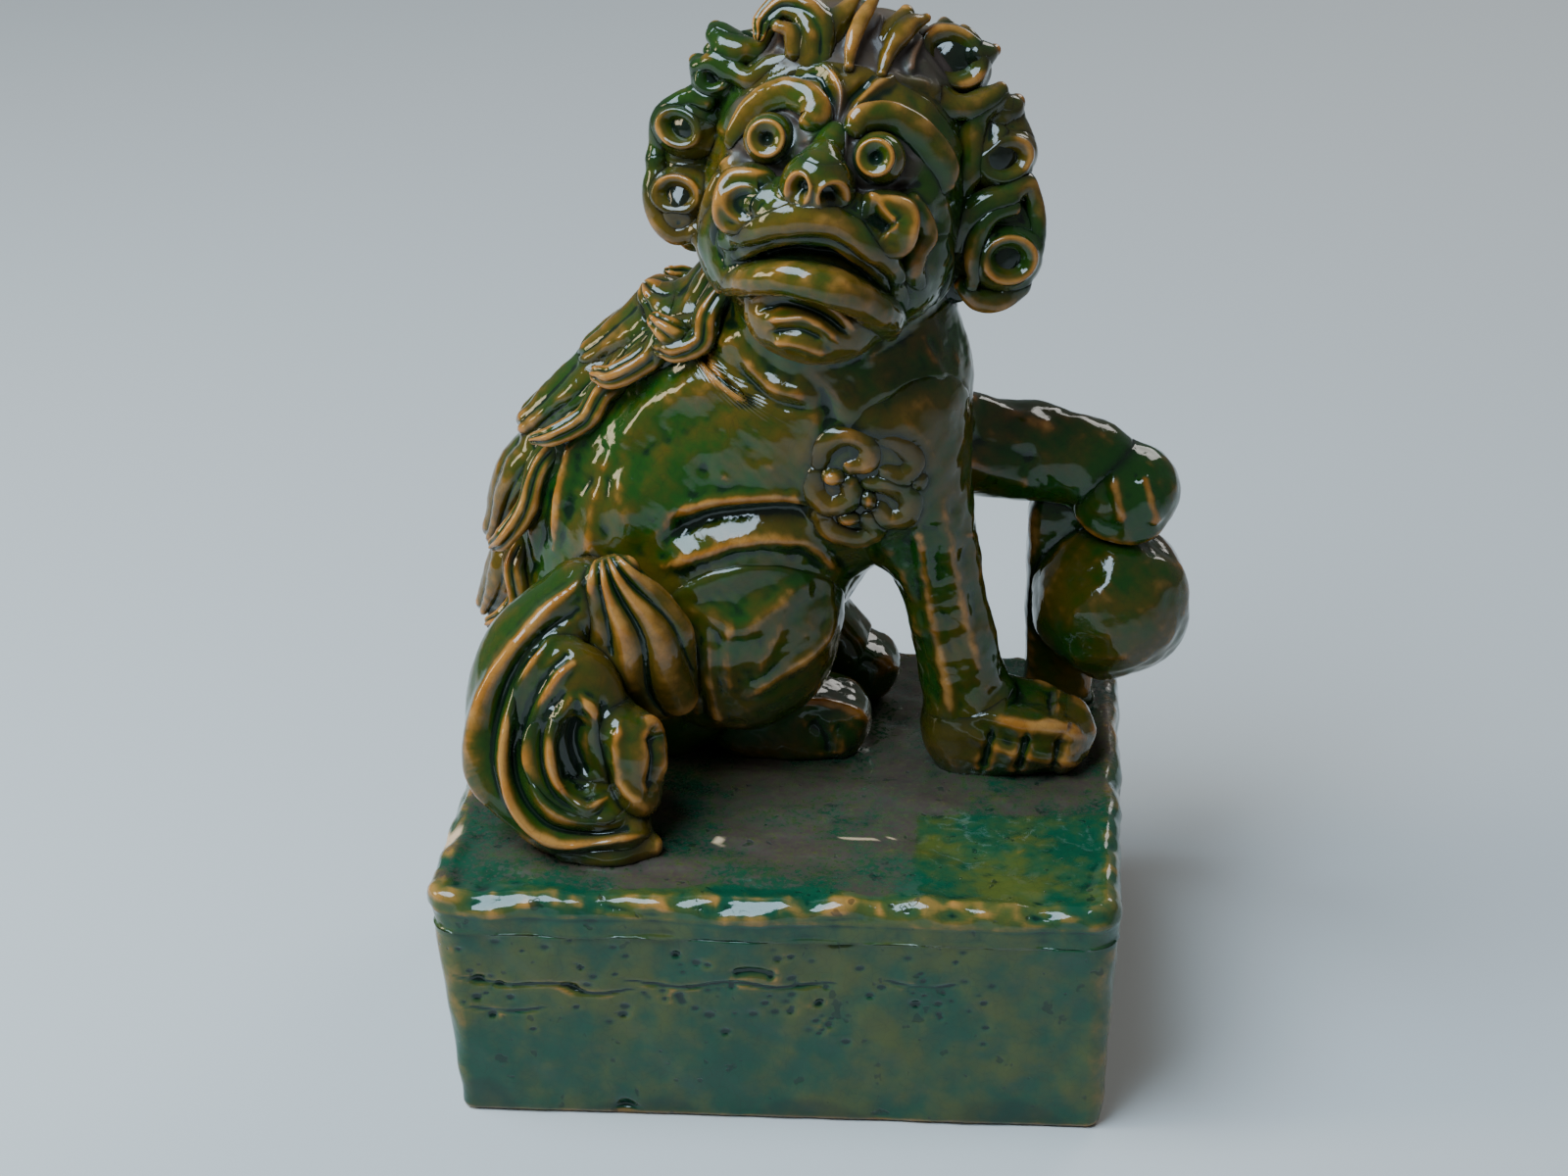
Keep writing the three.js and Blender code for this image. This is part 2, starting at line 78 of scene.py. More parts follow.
# %% The head's own directions
def about(axis, degrees):
    """A turn about one axis: the two other directions mix by cosine and sine."""
    c, s = math.cos(math.radians(degrees)), math.sin(math.radians(degrees))
    i, j = [(1, 2), (2, 0), (0, 1)][axis]
    m = np.eye(3)
    m[i, i], m[i, j], m[j, i], m[j, j] = c, -s, s, c
    return m


head_turn = about(2, 3) @ about(0, -14) @ about(1, 9)
head_middle = place(12, 5, 140)
skull_half = np.array([27.0, 28.0, 32.0])
skull_drop = -3.0


def on_head(right, up, out):
    """The head's middle plus the turned step (right, minus out, up)."""
    return head_middle + head_turn @ np.array([right, -out, up], float)


def head_way(right, up, out):
    """The same turned step as a direction of length one."""
    v = head_turn @ np.array([right, -out, up], float)
    return v / np.linalg.norm(v)


def head_sight(p):
    """Right, up and out of points, as one faces the head."""
    q = (p - head_middle) @ head_turn
    return q[:, 0], q[:, 2], -q[:, 1]


def skin(right, up):
    """How far out of the face the skull's skin lies: an ellipsoid's height over a plane."""
    left = 1 - (right / skull_half[0]) ** 2 - ((up - skull_drop) / skull_half[2]) ** 2
    return skull_half[1] * math.sqrt(max(0.04, left))


def on_face(right, up, lift):
    """A point over the face: the skin's height there plus a lift off it."""
    return on_head(right, up, skin(right, up) + lift)


print("head middle, mm:", np.round(head_middle, 1))

# %% [markdown]
# Small tools. `ease` goes smoothly from 0 to 1 between two values. `hand` is the unevenness
# that fingers leave in clay: a sum of long soft waves in many directions, the same at the same
# place on every piece, so that neighbours wobble together.

# %% Soft steps, bells and finger marks
def ease(x, low, high):
    """0 below one value and 1 above the other: 3t² − 2t³ of the share t of the way between."""
    t = np.clip((x - low) / (high - low), 0, 1)
    return t * t * (3 - 2 * t)


def bell(x, width):
    """A soft hump, 1 in the middle: e to the power of minus (x ÷ width)²."""
    return np.exp(-((x / width) ** 2))


def waves(p, length, count=14, seed=3):
    """Sum of sine waves of about one length whose directions and phases are drawn at random."""
    rng = np.random.default_rng(seed)
    ways = rng.normal(size=(count, 3))
    ways *= (2 * np.pi / length) * rng.uniform(0.6, 1.4, (count, 1)) / np.linalg.norm(ways, axis=1, keepdims=True)
    return np.sin(p @ ways.T + rng.uniform(0, 2 * np.pi, count)).sum(1) / math.sqrt(count)


def hand(p):
    """Finger marks, in millimetres: long, middling and short waves added up."""
    return 0.28 * waves(p, 17, seed=5) + 0.13 * waves(p, 7, seed=6) + 0.045 * waves(p, 3, seed=7)


scattered = np.random.default_rng(0).normal(size=(2000, 3)) * 40
print("finger marks reach", round(float(np.abs(hand(scattered)).max()), 2), "mm")

# %% Paths and pressed lines
def smooth_path(points, steps=10):
    """A curve through the points: each stretch is the cubic that keeps its neighbours' slope."""
    p = np.asarray(points, float)
    p = np.vstack([2 * p[0] - p[1], p, 2 * p[-1] - p[-2]])
    t = np.linspace(0, 1, steps, endpoint=False)[:, None, None]
    a, b, c, d = p[:-3], p[1:-2], p[2:-1], p[3:]
    q = 0.5 * (2 * b + (c - a) * t + (2 * a - 5 * b + 4 * c - d) * t**2 + (3 * b - a - 3 * c + d) * t**3)
    q = q.transpose(1, 0, 2).reshape(-1, p.shape[1])
    return np.vstack([q, p[-2]])


def stroke(p, points, width, height):
    """A modelled line on the clay: height × bell(distance to a smooth path ÷ width). The line
    thins out at both ends. A minus height is a groove pressed in with a tool."""
    path = smooth_path(points, 8)
    seg_a, seg_b = path[:-1], path[1:]
    near = np.all((p > path.min(0) - 3 * width) & (p < path.max(0) + 3 * width), axis=1)
    out = np.zeros(len(p))
    if not near.any():
        return out
    q = p[near][:, None, :] - seg_a[None]
    run = seg_b - seg_a
    t = np.clip((q * run).sum(2) / np.maximum((run**2).sum(1), 1e-9), 0, 1)
    d = np.linalg.norm(q - t[..., None] * run, axis=2)
    i = d.argmin(1)
    rows = np.arange(len(i))
    along = (i + t[rows, i]) / len(run)
    taper = ease(along, -0.02, 0.14) * ease(1 - along, -0.02, 0.14)
    out[near] = height * (0.25 + 0.75 * taper) * bell(d[rows, i], width * (0.6 + 0.4 * taper))
    return out


bent = smooth_path([(0, 0), (10, 6), (20, 0)])
print("a path through 3 points gets", len(bent), "points, and rises to", round(float(bent[:, 1].max()), 1), "mm")

# %% [markdown]
# ## The three basic clay shapes
# A potter makes this lion from balls, rolls and slabs. An `Egg` is a ball squeezed to three
# half-widths. A `Roll` is a sausage of clay bent along a path, with an oval section that
# changes from station to station. Each can give a grid of points (rings around an axis, closed
# by a point at each end) and can say how far any point in space lies from its skin. One
# number, `fineness`, scales the rows and columns of every grid.

# %% Eggs
fineness = 0.87


class Egg:
    """centre + turn × (half-widths × direction), for directions over the whole sphere. `front`
    puts the grid's pole out of the face, where the fine detail is."""

    def __init__(self, centre, half, turn=None, front=False, rows=80, cols=96, crowd=0.0):
        self.centre, self.half = np.asarray(centre, float), np.asarray(half, float)
        self.turn = np.eye(3) if turn is None else turn
        self.reach = np.abs(self.half).max()
        rows, cols = int(rows * fineness), int(cols * fineness)
        u = np.linspace(0, np.pi, rows + 2)
        w = np.arange(cols) * 2 * np.pi / cols
        v = -np.pi / 2 + w - crowd * np.sin(w)
        u, v = np.meshgrid(u, v, indexing="ij")
        d = np.stack([np.sin(u) * np.cos(v), np.sin(u) * np.sin(v), np.cos(u)], 2)
        if front:
            d = np.stack([d[..., 0], -d[..., 2], d[..., 1]], 2)
        grid = self.centre + (d * self.half) @ self.turn.T
        self.top, self.rings, self.bottom = grid[0, 0], grid[1:-1], grid[-1, 0]
        self.u = np.concatenate([[0], u[1:-1].ravel(), [np.pi]])
        self.v = np.concatenate([[0], v[1:-1].ravel(), [0]])
        self.low, self.high = grid.min((0, 1)), grid.max((0, 1))

    def away(self, p):
        """Distance to the skin, from the length of the point in two scaled spaces."""
        q = (p - self.centre) @ self.turn
        one = np.linalg.norm(q / self.half, axis=1)
        two = np.linalg.norm(q / self.half**2, axis=1)
        return one * (one - 1) / np.maximum(two, 1e-6)


some_egg = Egg((0, 0, 0), (10, 8, 6))
print("an egg has", some_egg.rings.shape[0] * some_egg.rings.shape[1] + 2, "points")

# %% [markdown]
# Legs, locks, lips and curls are all rolled between the hands and bent, so they share one
# shape. A tube along a curve would have a round, even section. Clay hasn't, so here the section
# is an oval with two half-widths of its own at each station.

# %% Rolls
class Roll:
    """A section carried along a smooth path. Each station is (point, half-width across the
    bend, half-width along `side`). A ring's point = path + cos × wide × normal + sin × deep ×
    side, and both ends close as half balls. `square` above 2 flattens the section's sides."""

    def __init__(self, stations, side=(0, 1, 0), rows=70, cols=64, square=2.0):
        rows, cols = int(rows * fineness), int(cols * fineness)
        at = np.array([s[0] for s in stations], float)
        size = np.array([(s[1], s[2] if len(s) > 2 else s[1]) for s in stations], float)
        fine = smooth_path(np.hstack([at, size]), 16)
        t = np.linspace(0, len(fine) - 1, rows)
        fine = np.stack([np.interp(t, np.arange(len(fine)), fine[:, k]) for k in range(5)], 1)
        self.path, self.wide, self.deep = fine[:, :3], fine[:, 3], fine[:, 4]
        tangent = np.gradient(self.path, axis=0)
        tangent /= np.linalg.norm(tangent, axis=1, keepdims=True)
        side = np.asarray(side, float)
        across = side - (tangent @ side)[:, None] * tangent
        across /= np.linalg.norm(across, axis=1, keepdims=True)
        normal = np.cross(across, tangent)
        self.axes = np.stack([normal, across, tangent], 1)
        cap = np.linspace(0, np.pi / 2, 10)[1:-1]
        index = np.concatenate([np.zeros(len(cap), int), np.arange(rows), np.full(len(cap), rows - 1)])
        turn = np.concatenate([cap, np.full(rows, np.pi / 2), np.pi - cap[::-1]])
        v = np.arange(cols) * 2 * np.pi / cols
        fat = (np.abs(np.cos(v)) ** square + np.abs(np.sin(v)) ** square) ** (-1 / square)
        least = np.minimum(self.wide, self.deep)
        wide, deep = (np.sin(turn) * half[index] for half in (self.wide, self.deep))
        c = (np.cos(v) * fat)[None, :, None] * wide[:, None, None] * normal[index][:, None]
        s = (np.sin(v) * fat)[None, :, None] * deep[:, None, None] * across[index][:, None]
        run = (-np.cos(turn) * least[index])[:, None] * tangent[index]
        self.rings = (self.path[index] + run)[:, None] + c + s
        self.top = self.path[0] - least[0] * tangent[0]
        self.bottom = self.path[-1] + least[-1] * tangent[-1]
        u = np.repeat(index[:, None] / (rows - 1), cols, 1)
        self.u = np.concatenate([[0], u.ravel(), [1]])
        self.v = np.concatenate([[0], np.repeat(v[None], len(index), 0).ravel(), [0]])
        flat = self.rings.reshape(-1, 3)
        self.low, self.high = flat.min(0), flat.max(0)
        pick = np.linspace(0, rows - 1, min(rows, 26)).astype(int)
        self.bones = (self.path[pick], self.axes[pick], np.stack([self.wide, self.deep, least], 1)[pick])

    def away(self, p):
        """Least distance to the oval beads threaded along the path."""
        best = np.full(len(p), 1e9)
        for c, axes, half in zip(*self.bones):
            q = (p - c) @ axes.T
            one = np.linalg.norm(q / half, axis=1)
            two = np.linalg.norm(q / half**2, axis=1)
            best = np.minimum(best, one * (one - 1) / np.maximum(two, 1e-6))
        return best


some_roll = Roll([((0, 0, 0), 5), ((0, 0, 20), 3)])
print("a roll has", some_roll.rings.shape[0] * some_roll.rings.shape[1] + 2, "points")

# %% [markdown]
# ## Keeping the clay pieces
# A piece of the statue may be one shell or a few pressed together. `add` files a shell under
# its piece with the relief that is modelled on it, and how softly it is welded. Hair and face
# have glazes of their own, so each has its own way to add.

# %% The list of pieces
shells, pieces = [], {}


def add(piece, form, relief=None, weld=2.0, slot="body_glaze", hand_share=1.0, marks=None):
    """Files a shell under its piece. `hand_share` is how much of the finger marks it gets."""
    shell = dict(form=form, relief=relief, weld=weld, hand=hand_share, marks=marks)
    shells.append(shell)
    pieces.setdefault(piece, dict(shells=[], slot=slot))["shells"].append(shell)


def add_hair(piece, form, relief=None, **more):
    """The same for the mane, the crown, the spine locks and the tufts."""
    add(piece, form, relief, slot="mane_glaze", **more)


def add_face(piece, form, relief=None, **more):
    """The same for what is laid on the face."""
    add(piece, form, relief, slot="face_glaze", **more)


def tell(*starts):
    """Prints which pieces with such names are filed, and their shells."""
    names = [n for n in pieces if n.startswith(starts)]
    print(", ".join(names) + ":", sum(len(pieces[n]["shells"]) for n in names), "shells")


print("the list is empty:", len(pieces), "pieces")

# %% [markdown]
# ## Modelling lines on the clay
# A modeller presses ridges and grooves from one side, so these lines are measured across the
# direction they are pressed from: both the clay and the line are laid flat along it. Lines on
# the face use the face's own right and up.

# %% Lines pressed from one side
front_way = np.array([0.083, -0.884, 0.46])
front_way /= np.linalg.norm(front_way)


def laid_flat(points, way):
    """The two coordinates of points across a direction."""
    one = np.cross([0.0, 0.0, 1.0], way)
    one /= np.linalg.norm(one)
    return np.asarray(points, float) @ np.stack([one, np.cross(way, one)], 1)


def pressed(p, n, lines, way=front_way):
    """Sum of strokes (width, height, points on the lion), only on the side that faces `way`."""
    q, facing = laid_flat(p, way), ease(n @ way, 0.0, 0.35)
    total = np.zeros(len(p))
    for width, height, points in lines:
        total += stroke(q, laid_flat([place(*x) for x in points], way), width, height)
    return total * facing


def on_face_lines(p, lines, front=(-2, 6)):
    """Sum of strokes drawn in the face's right and up, on the clay that faces out of it."""
    right, up, out = head_sight(p)
    q = np.stack([right, up], 1)
    total = np.zeros(len(p))
    for width, height, points in lines:
        total += stroke(q, points, width, height)
    return total * ease(out, *front)


def dent(p, at, size, depth, edge=0.35):
    """A soft-edged oval hollow in the face: depth inside the oval, easing to nothing."""
    right, up, out = head_sight(p)
    e = np.hypot((right - at[0]) / size[0], (up - at[1]) / size[1])
    return -depth * (1 - ease(e, 1 - edge, 1 + edge)), e


print("lines are pressed along", np.round(-front_way, 2))

# %% [markdown]
# ## The body
# On the real piece the body is one hollow pear, leaning forward into the chest. A roll whose
# oval section swells at the haunch and narrows at the neck gives it. The deep crease over the
# haunch, the fold under the throat and the ropes of hair down the back are pressed lines: each
# has a width, a height (minus presses in) and its points on the lion.

# %% Lines on the body
body_lines = [
    (2.4, -3.4, [(-25, -9.2, 63.5), (-16.4, -9.7, 67.9), (-5.7, -9.8, 69.6), (8, -8, 69.4)]),
    (1.8, 1.3, [(-24, -9, 69), (-14, -9.7, 72.3), (-4, -9.8, 73.6), (8, -8, 73)]),
    (1.7, 1.5, [(-26, -9.8, 57), (-16.8, -9.9, 60.8), (-8.1, -9.4, 63.3), (4.5, -6.6, 62), (11, 0, 52)]),
    (3.5, 1.3, [(-34, -8, 60), (-35, -2.6, 78.9), (-30.7, -0.1, 87.2), (-22.8, -0.9, 94.6), (-11.7, -5.1, 97.7)]),
    (2.2, 1.5, [(-13, 1.3, 108.6), (-8.4, -4.1, 104.2), (-0.8, -8.2, 99.2), (7.6, -9.5, 97.6)]),
    (1.5, -0.9, [(-11, 1.3, 105.6), (-7.4, -4.1, 100.5), (-1, -8.2, 96), (6.6, -9.5, 94.6)]),
    (1.4, 1.0, [(-15.2, 0.8, 105.4), (-12.8, -3.9, 99.5), (-7.3, -7.3, 95.3)]),
    (1.5, 1.9, [(-23, 5, 106), (-34.9, 10.6, 95.3), (-43.9, 8.5, 83.1), (-49.3, 2.6, 69.1), (-51.9, 0.1, 55.8)]),
    (1.4, 1.8, [(-30, 8, 100), (-41.9, 10.8, 86.9), (-50.1, 11, 77.2), (-55.9, 7.7, 64.2), (-57.2, 4.2, 51.2)]),
    (1.4, 1.8, [(-46.3, 8.9, 80.5), (-53.5, 9.3, 70.7), (-60.2, 10.6, 55.4), (-62.2, 10.9, 40.3)]),
    (2.0, 1.0, [(-38, 0, 80), (-42, -3, 66), (-43, -5, 54)]),
    (2.2, -1.6, [(9.7, -9.4, 98.7), (11.0, -9.7, 89.8), (7.5, -9.5, 79), (7.1, -7.7, 70.2)]),
    (3.0, 1.2, [(19, -7, 108), (22.1, -7, 102.3), (23.2, -9.1, 94.2)]),
    (1.4, 0.9, [(30, 2, 106), (33.3, -3, 96.2), (32.4, -7.1, 86.6)]),
]
# Thumb dents: where, how wide, how high.
body_spots = [
    ((-7.4, -9.1, 85.8), 2.2, -0.5), ((-17, -9, 80), 1.6, -0.4), ((-2, -9, 82), 1.8, 0.4),
    ((-12, -9, 78), 1.4, 0.4),
]


def body_relief(form, p, n):
    """The body's pressed lines, a few thumb dents (height × bell(distance ÷ width)), and soft
    ribs down the back, the absolute value of a sine."""
    h = pressed(p, n, body_lines)
    for at, width, height in body_spots:
        h += height * bell(np.linalg.norm(p - place(*at), axis=1), width)
    ribs = np.abs(np.sin(p[:, 1] * 0.19 + 0.05 * p[:, 2])) - 0.6
    h += 0.9 * ease(-n[:, 1], -0.9, -0.3) * ribs * ease(-n[:, 0], 0.0, 0.5)
    return h


print(len(body_lines), "lines and", len(body_spots), "dents on the body")

# %% The body
torso = [
    ((-35, 20, 24), 30, 28), ((-24, 19, 50), 38, 29), ((-7, 18, 73), 36, 28), ((8, 16, 92), 33, 26),
    ((11, 13, 116), 24, 21),
]
add("torso_shell", Roll([(place(*at), wide, deep) for at, wide, deep in torso], rows=230, cols=260), body_relief,
    weld=9.5)
tell("torso")

# %% [markdown]
# A haunch is an egg pressed against the body, and the hind foot is a short flat roll that
# shows beneath it. Soft creases run down the haunch where the clay was stroked, and the toes
# are parted by two grooves under a rim. The far haunch is hidden in most views, so it has fewer lines.

# %% Haunches and hind feet
thigh_lines = [
    (3.0, 1.2, [(-25, -14, 52), (-12.5, -10.5, 55.5), (-4, -8.5, 57.5), (5, -6, 56)]),
    (2.4, 0.9, [(-21.3, -11.5, 47.7), (-8.2, -13.2, 44), (0.2, -9.7, 49.6), (6, -5, 52)]),
    (1.3, 0.8, [(9.6, -2, 48.3), (10.3, -3.6, 40), (6.3, -8.1, 35.5), (-2.2, -11.8, 30.5), (-8, -12, 26)]),
    (1.6, 0.7, [(-20, -18, 43), (-20, -16, 32), (-20, -2, 14)]),
    (1.7, 0.8, [(-15.9, -13.5, 41.5), (-16.4, -12.7, 28.8), (-15.3, -6.3, 15.3)]),
    (1.6, 0.6, [(-11.4, -12.7, 44.5), (-12.6, -13.9, 36), (-12, -12.9, 27)]),
    (1.5, 0.5, [(0, -10, 45), (-3, -12, 38), (-6, -12, 31)]),
]
foot_lines = [
    (1.2, 1.1, [(-9, 3, 18), (-3, 4, 15.5), (5.8, 4.8, 15.5), (13.2, 6, 13), (16, 9, 9)]),
    (1.6, -0.9, [(4.0, 4.2, 11), (7.2, 5.6, 6), (8, 6, 1)]),
    (1.6, -0.8, [(10, 4.8, 10), (13, 5.6, 6), (14, 6, 1)]),
]
far_thigh_lines = [
    (2.2, 1.2, [(-25, 50, 52), (-12, 54, 57), (2, 50, 55)]),
    (2.0, 0.9, [(-16, 54, 48), (-16, 54, 30), (-14, 50, 14)]),
    (2.0, 0.9, [(-4, 54, 46), (-6, 54, 30), (-8, 50, 18)]),
]
back_way = np.array([0, 0.9, 0.4])
thigh_half = (24, 16, 27)
add("right_thigh", Egg(place(-12, 2, 38), thigh_half, rows=150, cols=170),
    lambda form, p, n: pressed(p, n, thigh_lines), weld=5)
add("left_thigh", Egg(place(-12, 38, 38), thigh_half, rows=110, cols=120),
    lambda form, p, n: 0.6 * pressed(p, n, far_thigh_lines, back_way), weld=5)
add("right_hind_foot", Roll([
    (place(-12, 13, 9), 9.5, 10), (place(0, 13, 8.5), 9.5, 10.5), (place(10, 13.5, 7), 7.5, 10)],
    rows=90, cols=110, square=3.2), lambda form, p, n: pressed(p, n, foot_lines), weld=3)
add("left_hind_foot", Roll([
    (place(2, 37, 20), 9, 8), (place(10, 37, 10), 9, 9), (place(16, 37, 8), 7, 8)], rows=70, cols=90, square=3.4),
    weld=3)
tell("right_thigh", "left_thigh", "right_hind", "left_hind")

# %% [markdown]
# ## Forelegs
# The near foreleg is a straight roll scraped into long flat facets with soft edges between
# them, and a broad paw with a rim of toes.

# %% The standing foreleg
leg_lines = [
    (1.6, 1.0, [(29, -6, 66), (30.2, -5.9, 60.2), (32.1, -1.8, 43.7), (35.3, -0.9, 26), (37, -1, 16)]),
    (1.6, 0.7, [(35, -7, 72), (36.5, -3.6, 59.2), (39.0, -0.4, 43.1), (42.2, 0.2, 28.1)]),
    (1.6, 0.7, [(41.0, 0.6, 62), (41.4, 0.6, 57.2), (43.8, 4.4, 40.7), (47.2, 6, 27.5)]),
    (2.6, 0.8, [(30, -7, 100), (27.5, -8, 92), (31, -8, 84), (29, -7, 74)]),
    (2.2, -0.6, [(24, -7, 100), (23, -8, 94)]),
    (1.6, 0.9, [(22, -6, 62), (26, -4, 54), (28.5, -2, 44), (31, 0, 34)]),
]
paw_lines = [
    (2.0, 1.7, [(41, -1, 17), (46, -1.5, 16), (52.7, -1.9, 14.3), (60.7, -1, 13.3), (66, 1, 10)]),
    (1.2, 1.0, [(62, 12, 17), (64.3, 9.6, 15.1), (67.5, 6.9, 12.3), (68.9, 4.4, 7.4)]),
    (3.2, -2.2, [(48, 6, 20), (55, 6, 18.5), (61, 7, 16.5)]),
    (1.1, -1.3, [(45.8, -2.4, 13), (44.5, -2.4, 7), (43.5, 0, 2)]),
    (1.1, -1.4, [(53.5, -2, 12), (52.5, -2.5, 7), (51.5, -1, 2)]),
    (1.1, -1.3, [(61, -1, 11), (60.5, -1.5, 6.5), (59.5, 0, 2)]),
    (1.3, 0.8, [(39.7, -1.8, 13), (45.3, -2.8, 9.7), (56.4, -2.9, 6.2), (65.2, 0.1, 3.4)]),
]
add("right_foreleg", Roll([
    (place(22, 4, 88), 16.5, 14.5), (place(28, 5, 68), 13.5, 12.5), (place(34, 7, 46), 9.5, 9.5),
    (place(38, 8, 26), 9.5, 9.5), (place(41, 8, 12), 10.5, 9.5)], rows=170, cols=130),
    lambda form, p, n: pressed(p, n, leg_lines), weld=9.5)
add("right_forepaw", Roll([
    (place(40, 8, 9), 11, 10.5), (place(54, 8, 8.5), 9.5, 11.5), (place(61, 8, 7), 7.5, 10.5)], rows=120, cols=130,
    square=2.6),
    lambda form, p, n: pressed(p, n, paw_lines), weld=3.5)
tell("right_fore")

# %% [markdown]
# The far foreleg reaches out level and lays a mitten of a paw over the ball. Soft clay can't
# hold such a reach by itself, so the real one has a flat-sided post behind the ball that
# carries both, and stays there after the firing.

# %% The raised foreleg, the ball and the post
mitten_lines = [
    (1.2, 1.3, [(62.5, 25.7, 65), (62.6, 27, 57), (66, 25, 52.5), (72, 23, 50), (79, 23, 49.5), (86, 27, 51)]),
    (1.5, -1.6, [(61, 27, 53), (66, 25, 49.5), (72, 23, 47), (79, 23, 46.3), (86, 27, 47)]),
    (1.5, 0.9, [(71, 25, 68), (72.9, 22.8, 60), (74.5, 23, 53)]),
    (1.5, 0.9, [(78.3, 25, 65), (80.5, 23.6, 58), (81.5, 25, 52)]),
    (2.2, 0.8, [(60, 27, 74), (66, 27, 72), (70, 26, 68)]),
]
arm_lines = [
    (2.2, 1.1, [(38, 27, 82), (44, 29.9, 79), (50.7, 29.2, 76), (59.5, 29.1, 73)]),
    (1.8, 0.8, [(38, 24, 68), (46, 25, 64), (54, 26, 61)]),
    (2.2, -0.8, [(38, 24, 74), (46, 25, 71), (55, 26, 67)]),
]
add("left_foreleg", Roll([
    (place(26, 27, 74), 13.5, 12.5), (place(42, 33, 67), 11.5, 10.5), (place(56, 35, 65), 11.5, 9.5),
    (place(68, 35, 62), 10.5, 9.5)], rows=110, cols=110), lambda form, p, n: pressed(p, n, arm_lines), weld=7)
add("left_forepaw", Egg(place(75, 34, 56), (12.5, 12, 11.5), rows=130, cols=140),
    lambda form, p, n: pressed(p, n, mitten_lines), weld=2.5)
ball_radius, ball_height = 18.5, 87.0
ball_middle = np.array([*place(72, 33, 0)[:2], ball_height])
add("ball", Egg(ball_middle, (ball_radius,) * 3, rows=120, cols=140),
    lambda form, p, n: 0.35 * waves(p, 14, seed=21), weld=1.6)
post_foot = place(60.5, 40.8, 0)[:2]
add("ball_post", Roll([((*post_foot, 58), 8, 7.5), ((*post_foot, 84), 7.8, 7.5), ((*post_foot, 106), 7.5, 7.5)],
    rows=80, cols=80, square=5), weld=3)
tell("left_fore", "ball")

# %% [markdown]
# ## The elbow tuft
# Hair is ropes of clay, rolled thin and laid in loops. The tuft is five small hooks on a low
# cushion at the elbow, with knobs pressed between them.

# %% Elbow tuft
tuft_ropes = [
    [(8.6, -8.6, 82.5), (10.6, -9.6, 87), (15, -10.2, 89), (19, -10.2, 86.8), (18.6, -10.2, 83), (15.4, -10, 82)],
    [(21, -9.4, 88.4), (25.6, -8.8, 87.4), (28.6, -8.2, 83), (26.6, -9, 79.6), (23, -9.6, 81)],
    [(7.6, -8.6, 79.6), (7.6, -8.8, 75), (11, -9, 72), (15.4, -9.4, 74), (15, -9.8, 77.6)],
    [(19.6, -9.2, 77.8), (23.6, -9.2, 77.2), (27.6, -8, 74), (27.2, -7.6, 69.6), (23.4, -8, 68.6),
        (21.4, -8.6, 71.4)],
    [(8.6, -8.2, 69), (11, -7.6, 65), (16.4, -6.8, 63.4), (20.2, -7.2, 65.4), (18.8, -8.2, 68.8)],
]
rope_thick = (2.3, 2.2, 2.2, 2.3, 2.4)
knobs = [
    ((11.6, -9.4, 79.4), (2.4, 3.2, 2.0)), ((29.6, -7.0, 78), (2.0, 2.8, 2.4)), ((14.6, -8.6, 69), (2.6, 3.0, 2.0)),
    ((19, -9.0, 73.6), (2.0, 3.0, 2.4)),
]
for path, thick in zip(tuft_ropes, rope_thick):
    thins = [0.75, *[1.0] * (len(path) - 2), 0.75]
    stations = [(place(*q), thick * thin) for q, thin in zip(path, thins)]
    add_hair("elbow_tuft", Roll(stations, rows=120, cols=36), weld=3, hand_share=0.5)
for at, half in knobs:
    add_hair("elbow_tuft", Egg(place(*at), half, rows=40, cols=44), weld=2.2)
add_hair("elbow_tuft", Egg(place(16, -3, 75), (13, 6.5, 14), rows=50, cols=60), weld=5)
tell("elbow")

# %% [markdown]
# ## The tail
# The tail is a fan of ribs over a great swirl: a dished shield of clay with a rim, and one
# crescent inside another down to a deep pointed hollow. The shield and the crescents are rolls,
# and their rims and hollows are pressed lines, since a rim follows no roll all the way.

